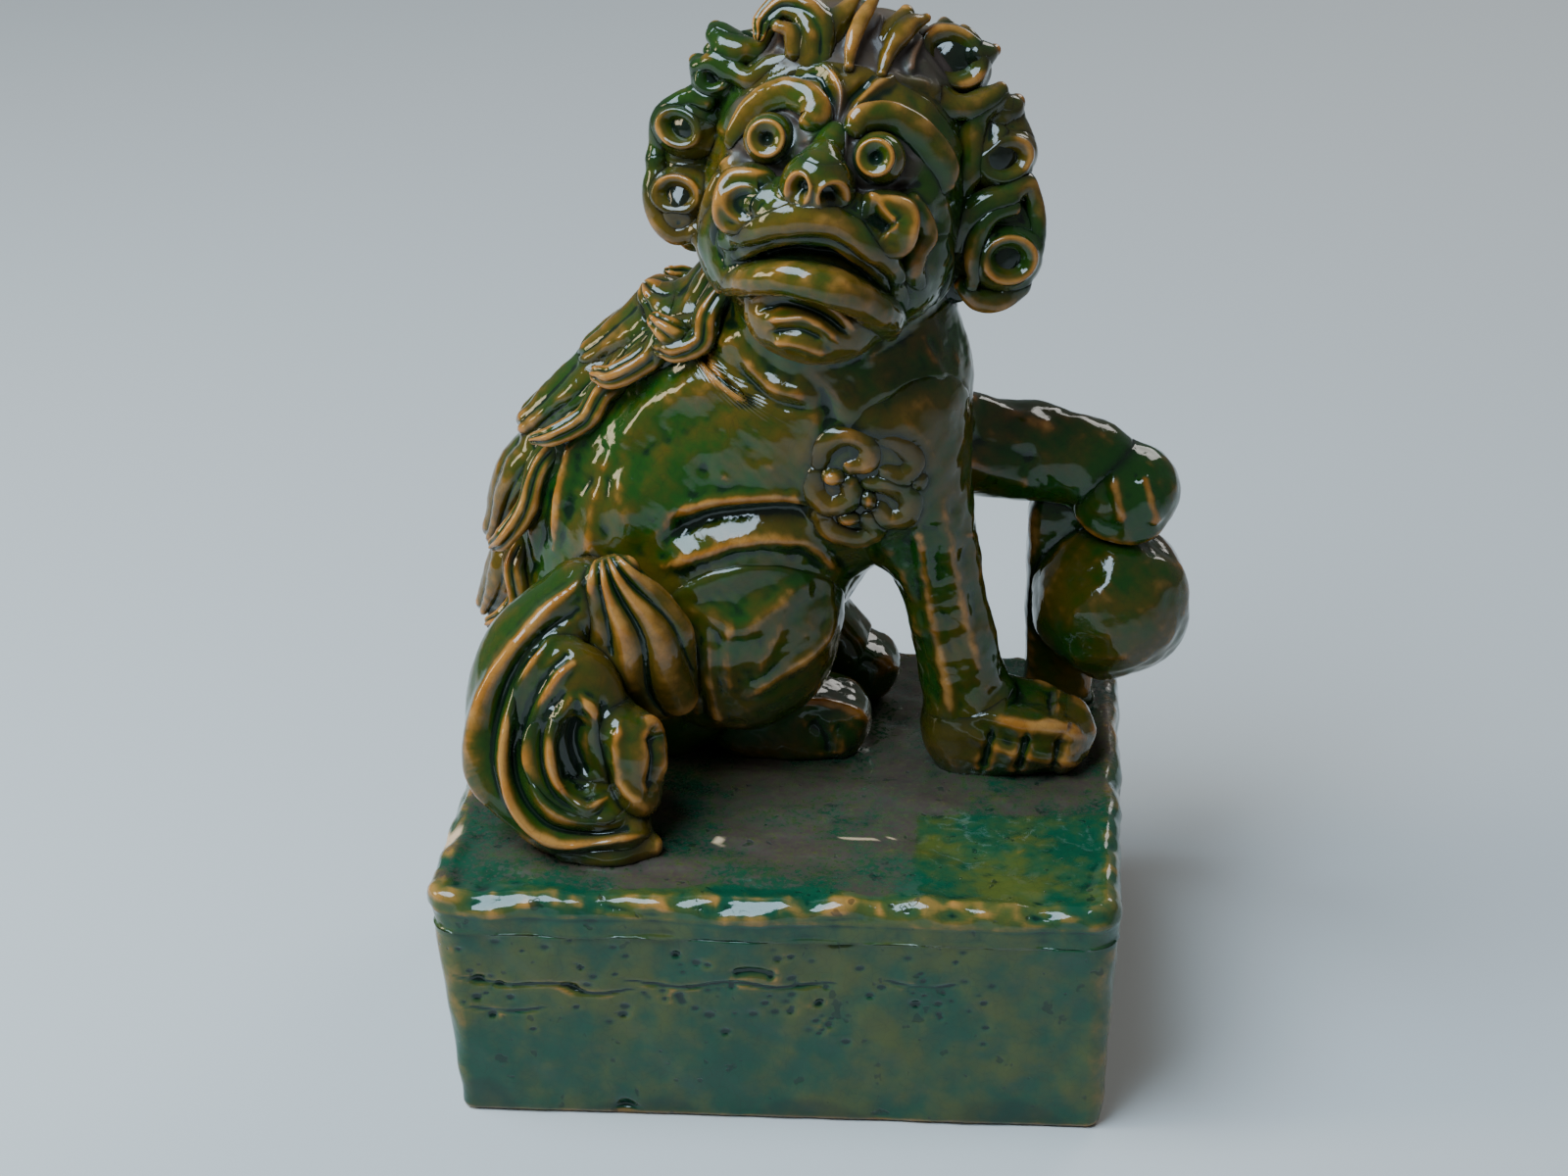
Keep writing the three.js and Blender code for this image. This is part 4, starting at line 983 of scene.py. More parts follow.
# %% Ropes of hair round the face
hair_ropes = [
    ("front_curl_1", 2.1, [(27.5, -9, 3, 0.6), (27.6, -4, 4, 1), (30.6, 0.2, 4, 1.15), (35.4, 3.2, 3, 1.15),
        (40, 5.6, 1, 1), (43, 0, 0, 0.8), (43.8, -6, -1, 0.7)]),
    ("front_curl_1", 1.5, [(31.5, -16, 3, 0.7), (30.4, -11, 5, 1), (31.0, -6, 5.5, 1), (33.6, -1.6, 5, 1),
        (38, 0.6, 3.5, 0.8)]),
    ("front_curl_1", 2.3, [(29, -17, 1, 0.6), (33, -19.6, 1, 1), (38, -19.4, 0, 1), (42, -16, -1, 0.8)]),
    ("front_curl_2", 1.9, [(26.4, 2, 3, 0.6), (27.2, 6, 4, 1), (27.0, 11, 4, 1.1), (26.6, 15.6, 4, 1.1),
        (28, 19.6, 3, 1), (31, 22.4, 1, 0.9), (33.6, 20.4, 0, 0.7)]),
    ("front_curl_2", 1.7, [(28, 1, 3, 0.6), (32, 1.8, 3, 1), (36.6, 4, 1, 1), (39, 7.4, 0, 0.7)]),
    ("front_curl_3", 2.0, [(14.5, 25.6, 6, 0.7), (17, 22.6, 6, 1), (20.6, 20.6, 6, 1.2), (24.6, 20.6, 5, 1.2),
        (28.6, 23, 3, 1), (31, 25, 1, 0.6)]),
    ("front_curl_4", 1.7, [(-32, 20.4, 2, 0.5), (-29, 22.0, 4, 0.9), (-24.7, 20.6, 5, 1.1), (-20.6, 19.8, 7, 1),
        (-17, 23, 8, 0.9), (-13, 25.4, 9, 0.5)]),
    ("front_curl_4", 2.0, [(-29.4, 26.8, 1, 0.7), (-27, 25.4, 3, 1.1), (-23.6, 25.0, 4, 1.2), (-20, 26.2, 4, 1),
        (-18.6, 29, 3, 0.7)]),
    ("front_curl_4", 1.9, [(-29, 17, 1, 1.3), (-31.4, 19.6, 0, 1.1), (-32.8, 21.2, -1, 0.7)]),
    ("front_curl_4", 1.9, [(-24, 25.5, 2, 1.3), (-27.6, 27.6, 0, 1.1), (-29.4, 28.6, -1, 0.7)]),
    ("front_curl_3", 1.8, [(25, 31, 1, 1.2), (27.6, 31.6, -1, 1.1), (28.8, 32.2, -2, 0.8)]),
    ("front_curl_2", 1.9, [(31.5, 19, 0, 1.2), (34, 21.2, -1, 1.1), (35, 22.4, -2, 0.8)]),
    ("front_curl_5", 1.9, [(-29, 13.4, 3, 0.7), (-33, 13.8, 1, 1), (-37, 10, -1, 1), (-38.6, 5, -1.5, 1),
        (-38.4, 0, -1.5, 0.8)]),
    ("front_curl_6", 2.1, [(-38, -1, -1, 0.8), (-38, -7, -1, 1), (-35.6, -12.6, 0, 1.1), (-31.4, -15.4, 1, 1),
        (-27.4, -13.4, 3, 0.7)]),
    ("front_curl_6", 1.7, [(-27.6, -12, 2, 0.8), (-25.6, -16, 4, 1), (-23.4, -20.4, 5, 1), (-21, -24.6, 5, 0.6)]),
]
hair_way = head_way(0, 0, -1)
for name, thick, stations in hair_ropes:
    add_hair(name, Roll([(on_head(r, u, o), t * thick) for r, u, o, t in stations], side=hair_way, rows=100,
        cols=40), weld=3.2, hand_share=0.6)
print(len(hair_ropes), "ropes of hair")

# %% [markdown]
# The back of the head has two rows of snail curls: eight behind the face's outline, and four
# further back. Each place is an angle round the head and an angle behind the face.

# %% Curls on the back of the head
back_rows = [(a, 33, 0.5) for a in (100, 68, 36, 4, -28, 132, 164, 196)]
back_rows += [(a, 62, 0.4) for a in (90, 18, 162, -54)]
back_size = 1.12
for n, (angle, behind, lift) in enumerate(back_rows, 1):
    centre, way = curl_place(angle, behind, lift, back_size)
    radius = curl_radius * back_size
    add_hair(f"back_curl_{n}", Egg(centre, (radius, radius * 0.75, radius), press_turn(way), front=True, rows=70,
        cols=100), snail_relief, weld=2.6)
tell("back_curl")

# %% [markdown]
# The crest is three flame locks. The middle one is a thin upright blade, the one over the
# lion's right brow hooks over in a fat folded roll, and the third is a short stub.

# %% Crown flames
flames = {
    "crown_flame_1": [[(-8, 26, 9, 4.2), (-8.6, 31.5, 8, 4.0), (-11.6, 35.0, 7, 3.4), (-16.2, 35.4, 7, 2.8),
        (-19.4, 32.0, 8, 2.2), (-19.8, 29, 9, 1.2)],
        [(-12.6, 27, 11, 1.6), (-13.8, 30.6, 11, 1.6), (-16.4, 31.4, 11, 1.2)]],
    "crown_flame_2": [[(-0.8, 26, 15, 1.0), (-0.8, 30, 13.5, 1.5), (0.4, 35, 10, 1.7), (3.4, 41.5, 6, 0.9)],
        [(-5.5, 31, 8, 2.6), (-3.6, 35, 6, 2.4), (-1.0, 39.5, 4, 1.2)]],
    "crown_flame_3": [[(6.2, 25.5, 14, 0.9), (7.2, 30, 11, 1.5), (10.4, 34.6, 7, 1.9), (13.6, 37, 4, 1.0)],
        [(6.4, 31, 7, 2.2), (7.8, 34.6, 5, 2.2), (9.2, 37.8, 4, 1.2)]],
}
for name, ropes in flames.items():
    for path in ropes:
        fat = path[0][3] > 3
        add_hair(name, Roll([(on_head(*at), half, half) for *at, half in path], side=hair_way, rows=90, cols=56),
            fold_relief if fat else None, weld=3, hand_share=0.7)
tell("crown")

# %% [markdown]
# Down the back runs a row of wavy locks. Each starts on the spine, a share of the way from the
# rump to the neck, and lifts off the back at its lower end in a hook. Long strands run from
# the neck down beside them.

# %% Places on the spine
spine = np.array([[*place(*at), wide] for at, wide, deep in torso])


def on_spine(along, off, aside=0.0):
    """A point of the spine's path, pushed out behind it by the body's half-width there."""
    path = smooth_path(spine, 30)
    t = np.clip(along, 0, 1) * (len(path) - 1)
    row = np.array([np.interp(t, np.arange(len(path)), path[:, k]) for k in range(4)])
    step = np.array([np.interp(t, np.arange(len(path)), np.gradient(path[:, k])) for k in range(3)])
    step /= np.linalg.norm(step)
    out = np.array([-step[2], 0, step[0]])
    out /= np.linalg.norm(out)
    return row[:3] + out * (row[3] + off) + step * (along - np.clip(along, 0, 1)) * 150 + np.array([0, aside, 0])


print("the spine's top is at", np.round(on_spine(1, 0), 1), "mm")

# %% Spine locks
def lock_relief(form, p, n):
    """Flutes along the lock: height × the rounded ribs of a sine round its section."""
    return 1.0 * (np.abs(np.sin(3 * form.v + 2.6 * form.u)) - 0.6)


top_lock, low_lock, lock_count = 0.9, 0.06, 6
for n in range(lock_count):
    m = top_lock + (low_lock - top_lock) * n / (lock_count - 1)
    add_hair(f"spine_lock_{n + 1}", Roll([
        (on_spine(m + 0.1, 0), 4, 8), (on_spine(m, 3), 5.2, 10.5), (on_spine(m - 0.1, 6.5), 3.0, 6)],
        rows=90, cols=110), lock_relief, weld=4)
    for aside, lean_to in ((-11.5, -2.5), (11.5, 2.5)):
        add_hair(f"spine_lock_{n + 1}", Roll([
            (on_spine(m + 0.10, -2, aside * 0.7), 1.6), (on_spine(m + 0.05, 0.0, aside), 2.5),
            (on_spine(m - 0.01, -1.0, aside + lean_to), 2.6),
            (on_spine(m - 0.06, 2.0, aside + lean_to * 1.6), 2.3),
            (on_spine(m - 0.085, 4.6, aside + lean_to), 1.4)],
            rows=80, cols=44), fold_relief, weld=3.4, hand_share=0.7)
tell("spine")

# %% Long strands beside the spine
strands = [
    ("spine_lock_1", [(-10, 4, 118), (-16, 3.5, 110), (-23, 5.2, 106.5), (-30.8, 7.2, 101.5), (-36, 8.5, 94)],
        (1.0, 2.2, 2.4, 2.2, 1.2)),
    ("spine_lock_1", [(-12, 5, 113), (-18, 4, 104), (-25, 5, 100), (-33, 8, 92)], (0.8, 1.8, 1.8, 1.0)),
    ("spine_lock_2", [(-28, 8, 104), (-36, 9, 97), (-41, 8.6, 88), (-47, 7, 80)], (1.2, 2.3, 2.3, 1.0)),
    ("spine_lock_3", [(-40, 10, 90), (-47.5, 10, 82), (-50, 8, 73), (-55, 8, 65)], (1.2, 2.3, 2.3, 1.0)),
    ("spine_lock_1", [(-10, 26, 118), (-16, 30, 110), (-24, 30, 105), (-33, 29, 98)], (1.0, 2.2, 2.3, 1.2)),
    ("spine_lock_2", [(-28, 31, 103), (-38, 31, 95), (-43, 32, 86), (-49, 31, 77)], (1.2, 2.3, 2.3, 1.0)),
    ("spine_lock_3", [(-42, 31, 88), (-50, 31, 79), (-53, 32, 69), (-57, 31, 60)], (1.2, 2.3, 2.3, 1.0)),
]
for name, path, thick in strands:
    add_hair(name, Roll([(place(*q), t) for q, t in zip(path, thick)], rows=90, cols=44), fold_relief, weld=3.6,
        hand_share=0.7)
print(len(shells), "shells in", len(pieces), "pieces")

# %% [markdown]
# ## The plinth
# The real plinth is a box of slabs with a thick top. The top slab here is rings of the same
# rounded outline, growing out from the middle, rolling over the edge and coming back
# underneath. Each wall is a slab's section carried along its stretch of the outline. A box with
# a bevel would be quicker, but its few big faces could carry no dents, pits or waves.

# %% The outline
corner, draw_in, slab = 7.0, 4.0, 9.0
end_gap = 1.5
ends_at = half_d - slab - draw_in - end_gap


def outline(inset, stretch, t):
    """Points of the rounded rectangle pulled in by `inset`, on one of its straight or corner
    stretches (0 to 7, from the right side's middle, anticlockwise), for shares t along it."""
    w, d, r = half_w - inset, half_d - inset, max(corner - inset, 1.0)
    cx, cy = w - r, d - r
    k, is_corner = divmod(stretch, 2)
    spin = k * np.pi / 2
    if is_corner:
        a = spin + t * np.pi / 2
        sx, sy = [(1, 1), (-1, 1), (-1, -1), (1, -1)][k]
        return np.stack([sx * cx + r * np.cos(a), sy * cy + r * np.sin(a)], -1)
    a, b = [((w, -cy), (w, cy)), ((cx, d), (-cx, d)), ((-w, cy), (-w, -cy)), ((-cx, -d), (cx, -d))][k]
    return np.array(a) + (np.array(b) - np.array(a)) * t[..., None]


def lean(z):
    """The side leans in by draw_in at the foot and by nothing at the top."""
    return draw_in * (1 - z / top_z)


print("the foot is", draw_in, "mm inside the top, and the end walls stop", round(float(ends_at), 1),
    "mm from the middle")

# %% The top slab
class TopSlab:
    """Rings of the outline: on top they grow from the middle, and then they roll over the
    edge, go down the side and come back underneath."""

    def __init__(self):
        cols = []
        for stretch, count in enumerate([56, 14, 70, 14, 56, 14, 70, 14]):
            cols.append((stretch, (np.arange(count)) / count))
        rim = 4.0
        a = np.linspace(0, np.pi / 2, 12)
        steps = [(g, 0.0, top_z) for g in np.linspace(0.015, 1, 70) ** 0.8]
        steps += [(1, rim * (1 - np.sin(x)), top_z - rim * (1 - np.cos(x))) for x in a[1:]]
        steps += [(1, lean(z), z) for z in np.linspace(top_z - rim - 0.8, under_z, 8)]
        steps += [(1, lean(under_z) + 0.05, under_z)]
        steps += [(g, 0.6, under_z) for g in np.linspace(0.985, 0.02, 20)]
        rings = []
        for g, inset, z in steps:
            inset = inset if z != top_z else rim
            xy = np.vstack([outline(inset, s, t) for s, t in cols]) * g
            rings.append(np.column_stack([xy + middle[:2], np.full(len(xy), z)]))
        self.rings = np.array(rings)
        self.top = np.array([*middle[:2], top_z])
        self.bottom = np.array([*middle[:2], under_z])
        self.low, self.high = self.rings.min((0, 1)) - 1, self.rings.max((0, 1)) + 1
        heights = np.concatenate([self.top[None], self.rings.reshape(-1, 3), self.bottom[None]])[:, 2]
        self.calm = ease(heights, under_z + 0.5, under_z + 2)

    def away(self, p):
        """The lion's feet weld to the flat top, so the distance is the height over it."""
        return p[:, 2] - top_z


print("the top slab has", TopSlab().rings.shape[0], "rings")

# %% The walls
class Wall:
    """A slab's four-sided section, carried along some stretches of the outline and closed at
    its two ends."""

    away = None

    def __init__(self, stretches):
        outer = np.linspace(0, under_z - 0.02, 84)
        rim = 1.4
        section = [(rim * (1 - math.sqrt(1 - max(0.0, 1 - z / rim) ** 2)), z) for z in outer]
        section += [(s, under_z - 0.02) for s in [0.05, *np.linspace(1.4, slab - 0.4, 8)]]
        section += [(slab, z) for z in np.linspace(under_z - 0.8, 0.5, 24)]
        section += [(s, 0.0) for s in np.linspace(slab - 0.6, 1.4, 8)]
        rows = []
        for stretch, t in stretches:
            lines = [np.column_stack([outline(s + lean(z), stretch, t), np.full(len(t), z)]) for s, z in section]
            rows.append(np.array(lines).transpose(1, 0, 2))
        rings = np.vstack(rows)
        self.rings = rings + [middle[0], middle[1], 0]
        self.top, self.bottom = self.rings[0].mean(0), self.rings[-1].mean(0)
        self.low, self.high = self.rings.min((0, 1)), self.rings.max((0, 1))
        self.outside = np.concatenate([[0], np.tile(np.arange(len(section)) < len(outer), len(rings)), [0]])
        ends = np.minimum(1, np.minimum(np.arange(len(rings)), np.arange(len(rings))[::-1]) / 4)
        rim_off = np.array([1.0 - ease(np.array(z), under_z - 2, under_z - 0.5) for s, z in section])
        self.calm = np.concatenate([[0], (ends[:, None] * rim_off).ravel(), [0]])


print("walls are", slab, "mm thick")

# %% [markdown]
# The slabs were rolled out by hand, so they have long waves, and the edge of the top swells
# where it was patted down. Glaze lies wet along the front edge and in a puddle, dust on the rest,
# and two chips show the buff clay. These are drawn as soft functions of the place on the slab.

# %% Waves, wet glaze and chips on the top slab
def slab_side(p):
    """The same waves for the slab's side and the walls, so that they run on over the joint."""
    return 0.42 * waves(p, 30, seed=11) + 0.2 * waves(p, 9, seed=13) - 0.15


def slab_relief(form, p, n):
    """The top has long soft waves and a swelling, uneven edge. The side has the walls' waves."""
    q = p - middle
    past_edge = np.maximum(np.abs(q[:, 0]) - half_w, np.abs(q[:, 1]) - half_d)
    near_edge = ease(past_edge, -9, -1)
    top = 0.25 * waves(p, 26, seed=14) + near_edge * (0.5 * waves(p, 12, seed=15) + 0.2 * waves(p, 5, seed=16))
    top += 0.5 * bell(past_edge + 3.5, 2.2)
    side = np.where(p[:, 2] > under_z + 0.01, slab_side(p) * (1 - ease(n[:, 2], 0.3, 0.8)), 0)
    return side + top * ease(n[:, 2], 0.2, 0.8)


def slab_marks(form, p):
    """Wet gloss along the front edge and in a puddle on the lion's left, and two chips."""
    q = p - middle
    edge = ease(-q[:, 1] - half_d + 8 + 2.5 * waves(p, 24, seed=17), 0, 1.5)
    puddle = ease(q[:, 0], 28.5, 31) * ease(-q[:, 1] + 0.02 * q[:, 0], 17.5, 19.5)
    sides = ease(-p[:, 2] + top_z, 1.0, 3.0)
    chips = bell(np.hypot(q[:, 0] + 13.7, 0.6 * (q[:, 1] + 30.6)) + 0.3 * waves(p, 2, seed=18), 1.0) * 1.4
    chips += 1.6 * bell(np.hypot(q[:, 0] + 73.5, 0.7 * (q[:, 1] + 31)) + 0.8 * waves(p, 4, seed=19), 2.4)
    chips += 0.7 * bell(stroke(q[:, :2], [(11.5, -28.7), (19, -28.9), (26.6, -27.9)], 0.35, 1.0) - 1, 0.4)
    return np.maximum(np.maximum(edge, puddle), sides), ease(chips, 0.4, 0.7), 0.0


add("plinth_top_slab", TopSlab(), slab_relief, weld=2.5, slot="plinth_glaze", marks=slab_marks)
tell("plinth")

# %% [markdown]
# The front wall has a belt of pits, left by bubbles that burst in the glaze, with tool marks
# and dents. The pits are many, so their places are drawn at random with a fixed seed.

# %% Dents, wrinkles and pits of the walls
front_marks = [
    (1.0, -1.3, [(12, -9.6), (16, -8.4), (20.5, -7.0)]), (0.8, 0.5, [(11, -7.4), (16, -6.2), (21, -5.2)]),
    (0.5, -0.7, [(-70, -21), (-60, -23), (-48, -22), (-40, -24.5), (-30, -23)]),
    (0.5, -0.7, [(-33, -20.5), (-20, -22), (-8, -20), (2, -21.5), (14, -20)]),
    (0.5, -0.5, [(-68, -29), (-58, -30), (-50, -28.5)]), (0.6, -0.5, [(24, -19), (34, -20.5), (40, -19.5)]),
    (1.1, -1.0, [(-9, -17.5), (-4, -17), (1, -18)]), (2.4, -1.6, [(-35, -60), (-33.8, -56.5), (-31, -60)]),
]
pit_luck, pit_count = np.random.default_rng(31), 110
pit_at = np.column_stack([pit_luck.uniform(-70, 48, pit_count), pit_luck.normal(-23, 6.5, pit_count)])
pit_size, pit_deep = pit_luck.uniform(0.45, 1.1, pit_count), pit_luck.uniform(0.25, 0.8, pit_count)


def wall_relief(form, p, n):
    """Waves all over, and on the front dents, wrinkles and a belt of pits left by air bubbles."""
    q = (p - middle)[:, [0, 2]] - [0, top_z - middle[2]]
    h = slab_side(p)
    facing = ease(-n[:, 1], 0.6, 0.9)
    lines = sum(stroke(q, points, width, height) for width, height, points in front_marks)
    for at, size, deep in zip(pit_at, pit_size, pit_deep):
        lines = lines - deep * bell(np.hypot((q[:, 0] - at[0]) * 0.7, q[:, 1] - at[1]), size)
    return (h + lines * facing) * form.outside * ease(p[:, 2], 0.0, 2.0)


def wall_marks(form, p):
    """Darker towards the foot: the dark glaze colour in an uneven band along the bottom."""
    return 0.0, 0.0, 0.55 * ease(-p[:, 2] + 7 + 3 * waves(p, 22, seed=20), 0, 6)


print(pit_count, "pits, the widest", round(float(pit_size.max()), 2), "mm")

# %% Four walls
def part_of(k, start, stop, count):
    """Shares along a straight stretch between two places on it."""
    length = 2 * ((half_d if k in (0, 4) else half_w) - corner)
    return np.linspace(start / length + 0.5, stop / length + 0.5, count)


round_corner = (np.arange(14) + 0.5) / 14
corner_at = half_d - corner - 0.5
seam_at = ends_at - 0.03
walls = {
    "front": [(4, part_of(4, ends_at, corner_at, 8)), (5, round_corner), (6, np.linspace(0, 1, 240)),
        (7, round_corner), (0, part_of(0, -corner_at, -ends_at, 8))],
    "back": [(0, part_of(0, ends_at, corner_at, 8)), (1, round_corner), (2, np.linspace(0, 1, 150)),
        (3, round_corner), (4, part_of(4, -corner_at, -ends_at, 8))],
    "right": [(0, part_of(0, -seam_at, seam_at, 110))],
    "left": [(4, part_of(4, -seam_at, seam_at, 110))],
}
for name, stretches in walls.items():
    add(f"plinth_{name}_slab", Wall(stretches), wall_relief, weld=0, slot="plinth_glaze", marks=wall_marks)
tell("plinth")

# %% [markdown]
# ## Welding, and reading the bend of the clay
# Soft clay pieces run into each other in a small fillet. Each point of a shell moves out along
# its normal by k/4 × (1 − |distance to neighbour − own move| ÷ k)², which is the rule of a
# smooth union: both neighbours meet on one rounded skin, and past the seam each dives under
# the other. Then the relief and the finger marks are added.

# %% Grids to faces and normals
def faces_of(rows, cols):
    """Quads between rings, and a fan of triangles at each pole."""
    i = 1 + np.arange(rows * cols).reshape(rows, cols)
    j = np.roll(i, -1, 1)
    quads = np.stack([i[:-1], i[1:], j[1:], j[:-1]], 2).reshape(-1, 4)
    top = np.stack([np.zeros(cols, int), i[0], j[0]], 1)
    bottom = np.stack([np.full(cols, rows * cols + 1), j[-1], i[-1]], 1)
    return quads, np.vstack([top, bottom])


def corner_normals(p, quads, tris):
    """Each face's normal, from its diagonals or sides, summed at its corners."""
    n = np.zeros((len(p), 3))
    fq = np.cross(p[quads[:, 2]] - p[quads[:, 0]], p[quads[:, 3]] - p[quads[:, 1]])
    ft = np.cross(p[tris[:, 1]] - p[tris[:, 0]], p[tris[:, 2]] - p[tris[:, 0]])
    for k in range(3):
        for c in range(4):
            n[:, k] += np.bincount(quads[:, c], fq[:, k], len(p))
        for c in range(3):
            n[:, k] += np.bincount(tris[:, c], ft[:, k], len(p))
    return n / np.maximum(np.linalg.norm(n, axis=1, keepdims=True), 1e-12)


def volume(p, quads, tris):
    """A sixth of the sum of triple products, which is negative for a shape turned inside out."""
    both = np.vstack([quads[:, :3], quads[:, [0, 2, 3]], tris])
    a, b, c = p[both[:, 0]], p[both[:, 1]], p[both[:, 2]]
    return float((a * np.cross(b, c)).sum() / 6)


print("a grid of 3 rings of 4 points gets", len(faces_of(3, 4)[0]), "quads and", len(faces_of(3, 4)[1]),
    "triangles")

# %% [markdown]
# The glaze has to know where the clay bends, so it is measured here: a point that lies outside
# its blurred grid is on a ridge, and one that lies inside it is in a hollow. A shader can read
# that from no node that the export keeps, so it is measured here: a point that lies outside
# its blurred grid is on a ridge, and one that lies inside it is in a hollow.

# %% Blur on a grid, for the bend
def blurred(p, rows, cols, radius=1.0):
    """Each point moved towards its neighbours' mean until the blur has one radius both ways.
    Where the rings lie further apart, each turn moves the points less."""
    g = p[1:-1].reshape(rows, cols, 3).copy()
    steps = np.linalg.norm(np.diff(p[1:-1].reshape(rows, cols, 3), axis=0), axis=2).mean(1)
    along = np.maximum(np.concatenate([steps[:1], steps]), np.concatenate([steps, steps[-1:]])) + 0.02
    around = np.linalg.norm(g - np.roll(g, 1, 1), axis=2).mean(1) + 0.02
    turns = int(np.clip(math.ceil(2 * (radius / min(np.median(along), np.median(around))) ** 2), 1, 30))
    wa = np.minimum(0.33, radius**2 / turns / along**2 / 2)[:, None, None]
    wr = np.minimum(0.33, radius**2 / turns / around**2 / 2)[:, None, None]
    for _ in range(turns):
        pad = np.concatenate([np.broadcast_to(p[0], (1, cols, 3)), g, np.broadcast_to(p[-1], (1, cols, 3))])
        g = g + wa * (pad[2:] + pad[:-2] - 2 * g)
        g = g + wr * (np.roll(g, 1, 1) + np.roll(g, -1, 1) - 2 * g)
    return np.vstack([p[:1], g.reshape(-1, 3), p[-1:]])


round_form = pieces["ball"]["shells"][0]["form"]
before = np.vstack([round_form.top, round_form.rings.reshape(-1, 3), round_form.bottom])
moved = np.linalg.norm(blurred(before, *round_form.rings.shape[:2]) - before, axis=1)
print("the blur moves the ball's points by at most", round(float(moved.max()), 2), "mm")

# %% Weld a shell to its neighbours
far_off = 60.0


def neighbours(shell):
    """The forms whose boxes come within 6 mm of a shell, and how softly it welds to each."""
    form, k = shell["form"], shell["weld"]
    found = []
    for other in shells:
        if other is shell or other["form"].away is None or min(k, other["weld"]) <= 0:
            continue
        if np.all(other["form"].low - 6 < form.high) and np.all(other["form"].high + 6 > form.low):
            found.append((other["form"], min(k, other["weld"])))
    return found


def welded(shell, p0, n):
    """For each point: how far the weld moves it, the gap to its neighbours' skin, and the gap
    that is free once the neighbours' own move is taken off."""
    move = np.zeros(len(p0))
    gap, free = np.full(len(p0), far_off), np.full(len(p0), far_off)
    for other, k in neighbours(shell):
        near = np.all((p0 > other.low - 5 - k) & (p0 < other.high + 5 + k), axis=1)
        if not near.any():
            continue
        q, m = p0[near], n[near]
        t = np.zeros(len(q))
        for _ in range(3):
            b = other.away(q + m * t[:, None])
            t = k / 4 * np.maximum(0, 1 - np.abs(b - t) / k) ** 2
        move[near] = np.maximum(move[near], t)
        gap[near] = np.minimum(gap[near], b)
        free[near] = np.minimum(free[near], b - t)
    return move, gap, free


print("welds reach over", max(s["weld"] for s in shells), "mm at most")

# %% Finish a shell
clear_gap = 2.6  # an edge this far from its neighbours breaks the glaze fully
seam_shade_reach = 1.7  # how far the painted shade of a seam, with glaze pooled in it, reaches out of the seam


def finish_shell(shell):
    """Points = grid + normal × (weld + relief + finger marks), with what the glaze reads."""
    form = shell["form"]
    rows, cols = form.rings.shape[:2]
    p0 = np.vstack([form.top, form.rings.reshape(-1, 3), form.bottom])
    quads, tris = faces_of(rows, cols)
    if volume(p0 - p0.mean(0), quads, tris) < 0:
        quads, tris = quads[:, ::-1], tris[:, ::-1]
    n = corner_normals(p0, quads, tris)
    move, gap, free = welded(shell, p0, n)
    raised = np.zeros(len(p0)) if shell["relief"] is None else shell["relief"](form, p0, n)
    touch = shell["hand"] * hand(p0) * (form.away is not None)
    p = p0 + n * (move + raised * ease(gap, -0.5, 2.0) + touch)[:, None]
    normal = corner_normals(p, quads, tris)
    bend = ((p - blurred(p, rows, cols)) * normal).sum(1)
    bend = np.where(bend > 0, bend * ease(free, 0.6, clear_gap), bend) * getattr(form, "calm", 1.0)
    wet, chip, dark = shell["marks"](form, p0) if shell["marks"] else (0.0, 0.0, 0.0)
    # Painted shade: the colour darkens within a few millimetres of a neighbouring piece, where shade falls in the
    # seam, together with glaze pooled there; the marks' dark glaze in hollows joins it.
    seam_shade_and_pool = np.maximum(np.exp(-np.maximum(gap, 0) / seam_shade_reach), dark)
    return dict(p=p, quads=quads, tris=tris, bend=bend, seam_shade_and_pool=seam_shade_and_pool, wet=wet + 0 * gap, chip=chip + 0 * gap)


one = finish_shell(pieces["ball"]["shells"][0])
print("the ball's bend lies between", round(float(one["bend"].min()), 2), "and", round(float(one["bend"].max()), 2),
    "mm")

# %% [markdown]
# A piece's shells become one mesh. The points and faces go in as whole arrays, which takes a
# blink where a loop over two million corners would take minutes. Then the piece rides on the
# statue's one body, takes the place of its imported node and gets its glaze.

# %% One mesh from arrays
def mesh_of(name, p, quads, tris):
    """A smooth-shaded mesh from points, quads and triangles."""
    mesh = bpy.data.meshes.new(name)
    mesh.vertices.add(len(p))
    mesh.vertices.foreach_set("co", p.astype(np.float32).ravel())
    loops = np.concatenate([quads.ravel(), tris.ravel()]).astype(np.int32)
    mesh.loops.add(len(loops))
    mesh.loops.foreach_set("vertex_index", loops)
    counts = np.concatenate([np.full(len(quads), 4), np.full(len(tris), 3)])
    mesh.polygons.add(len(counts))
    mesh.polygons.foreach_set("loop_start", (np.cumsum(counts) - counts).astype(np.int32))
    mesh.polygons.foreach_set("use_smooth", np.ones(len(counts), bool))
    mesh.update(calc_edges=True)
    mesh.validate()
    return mesh


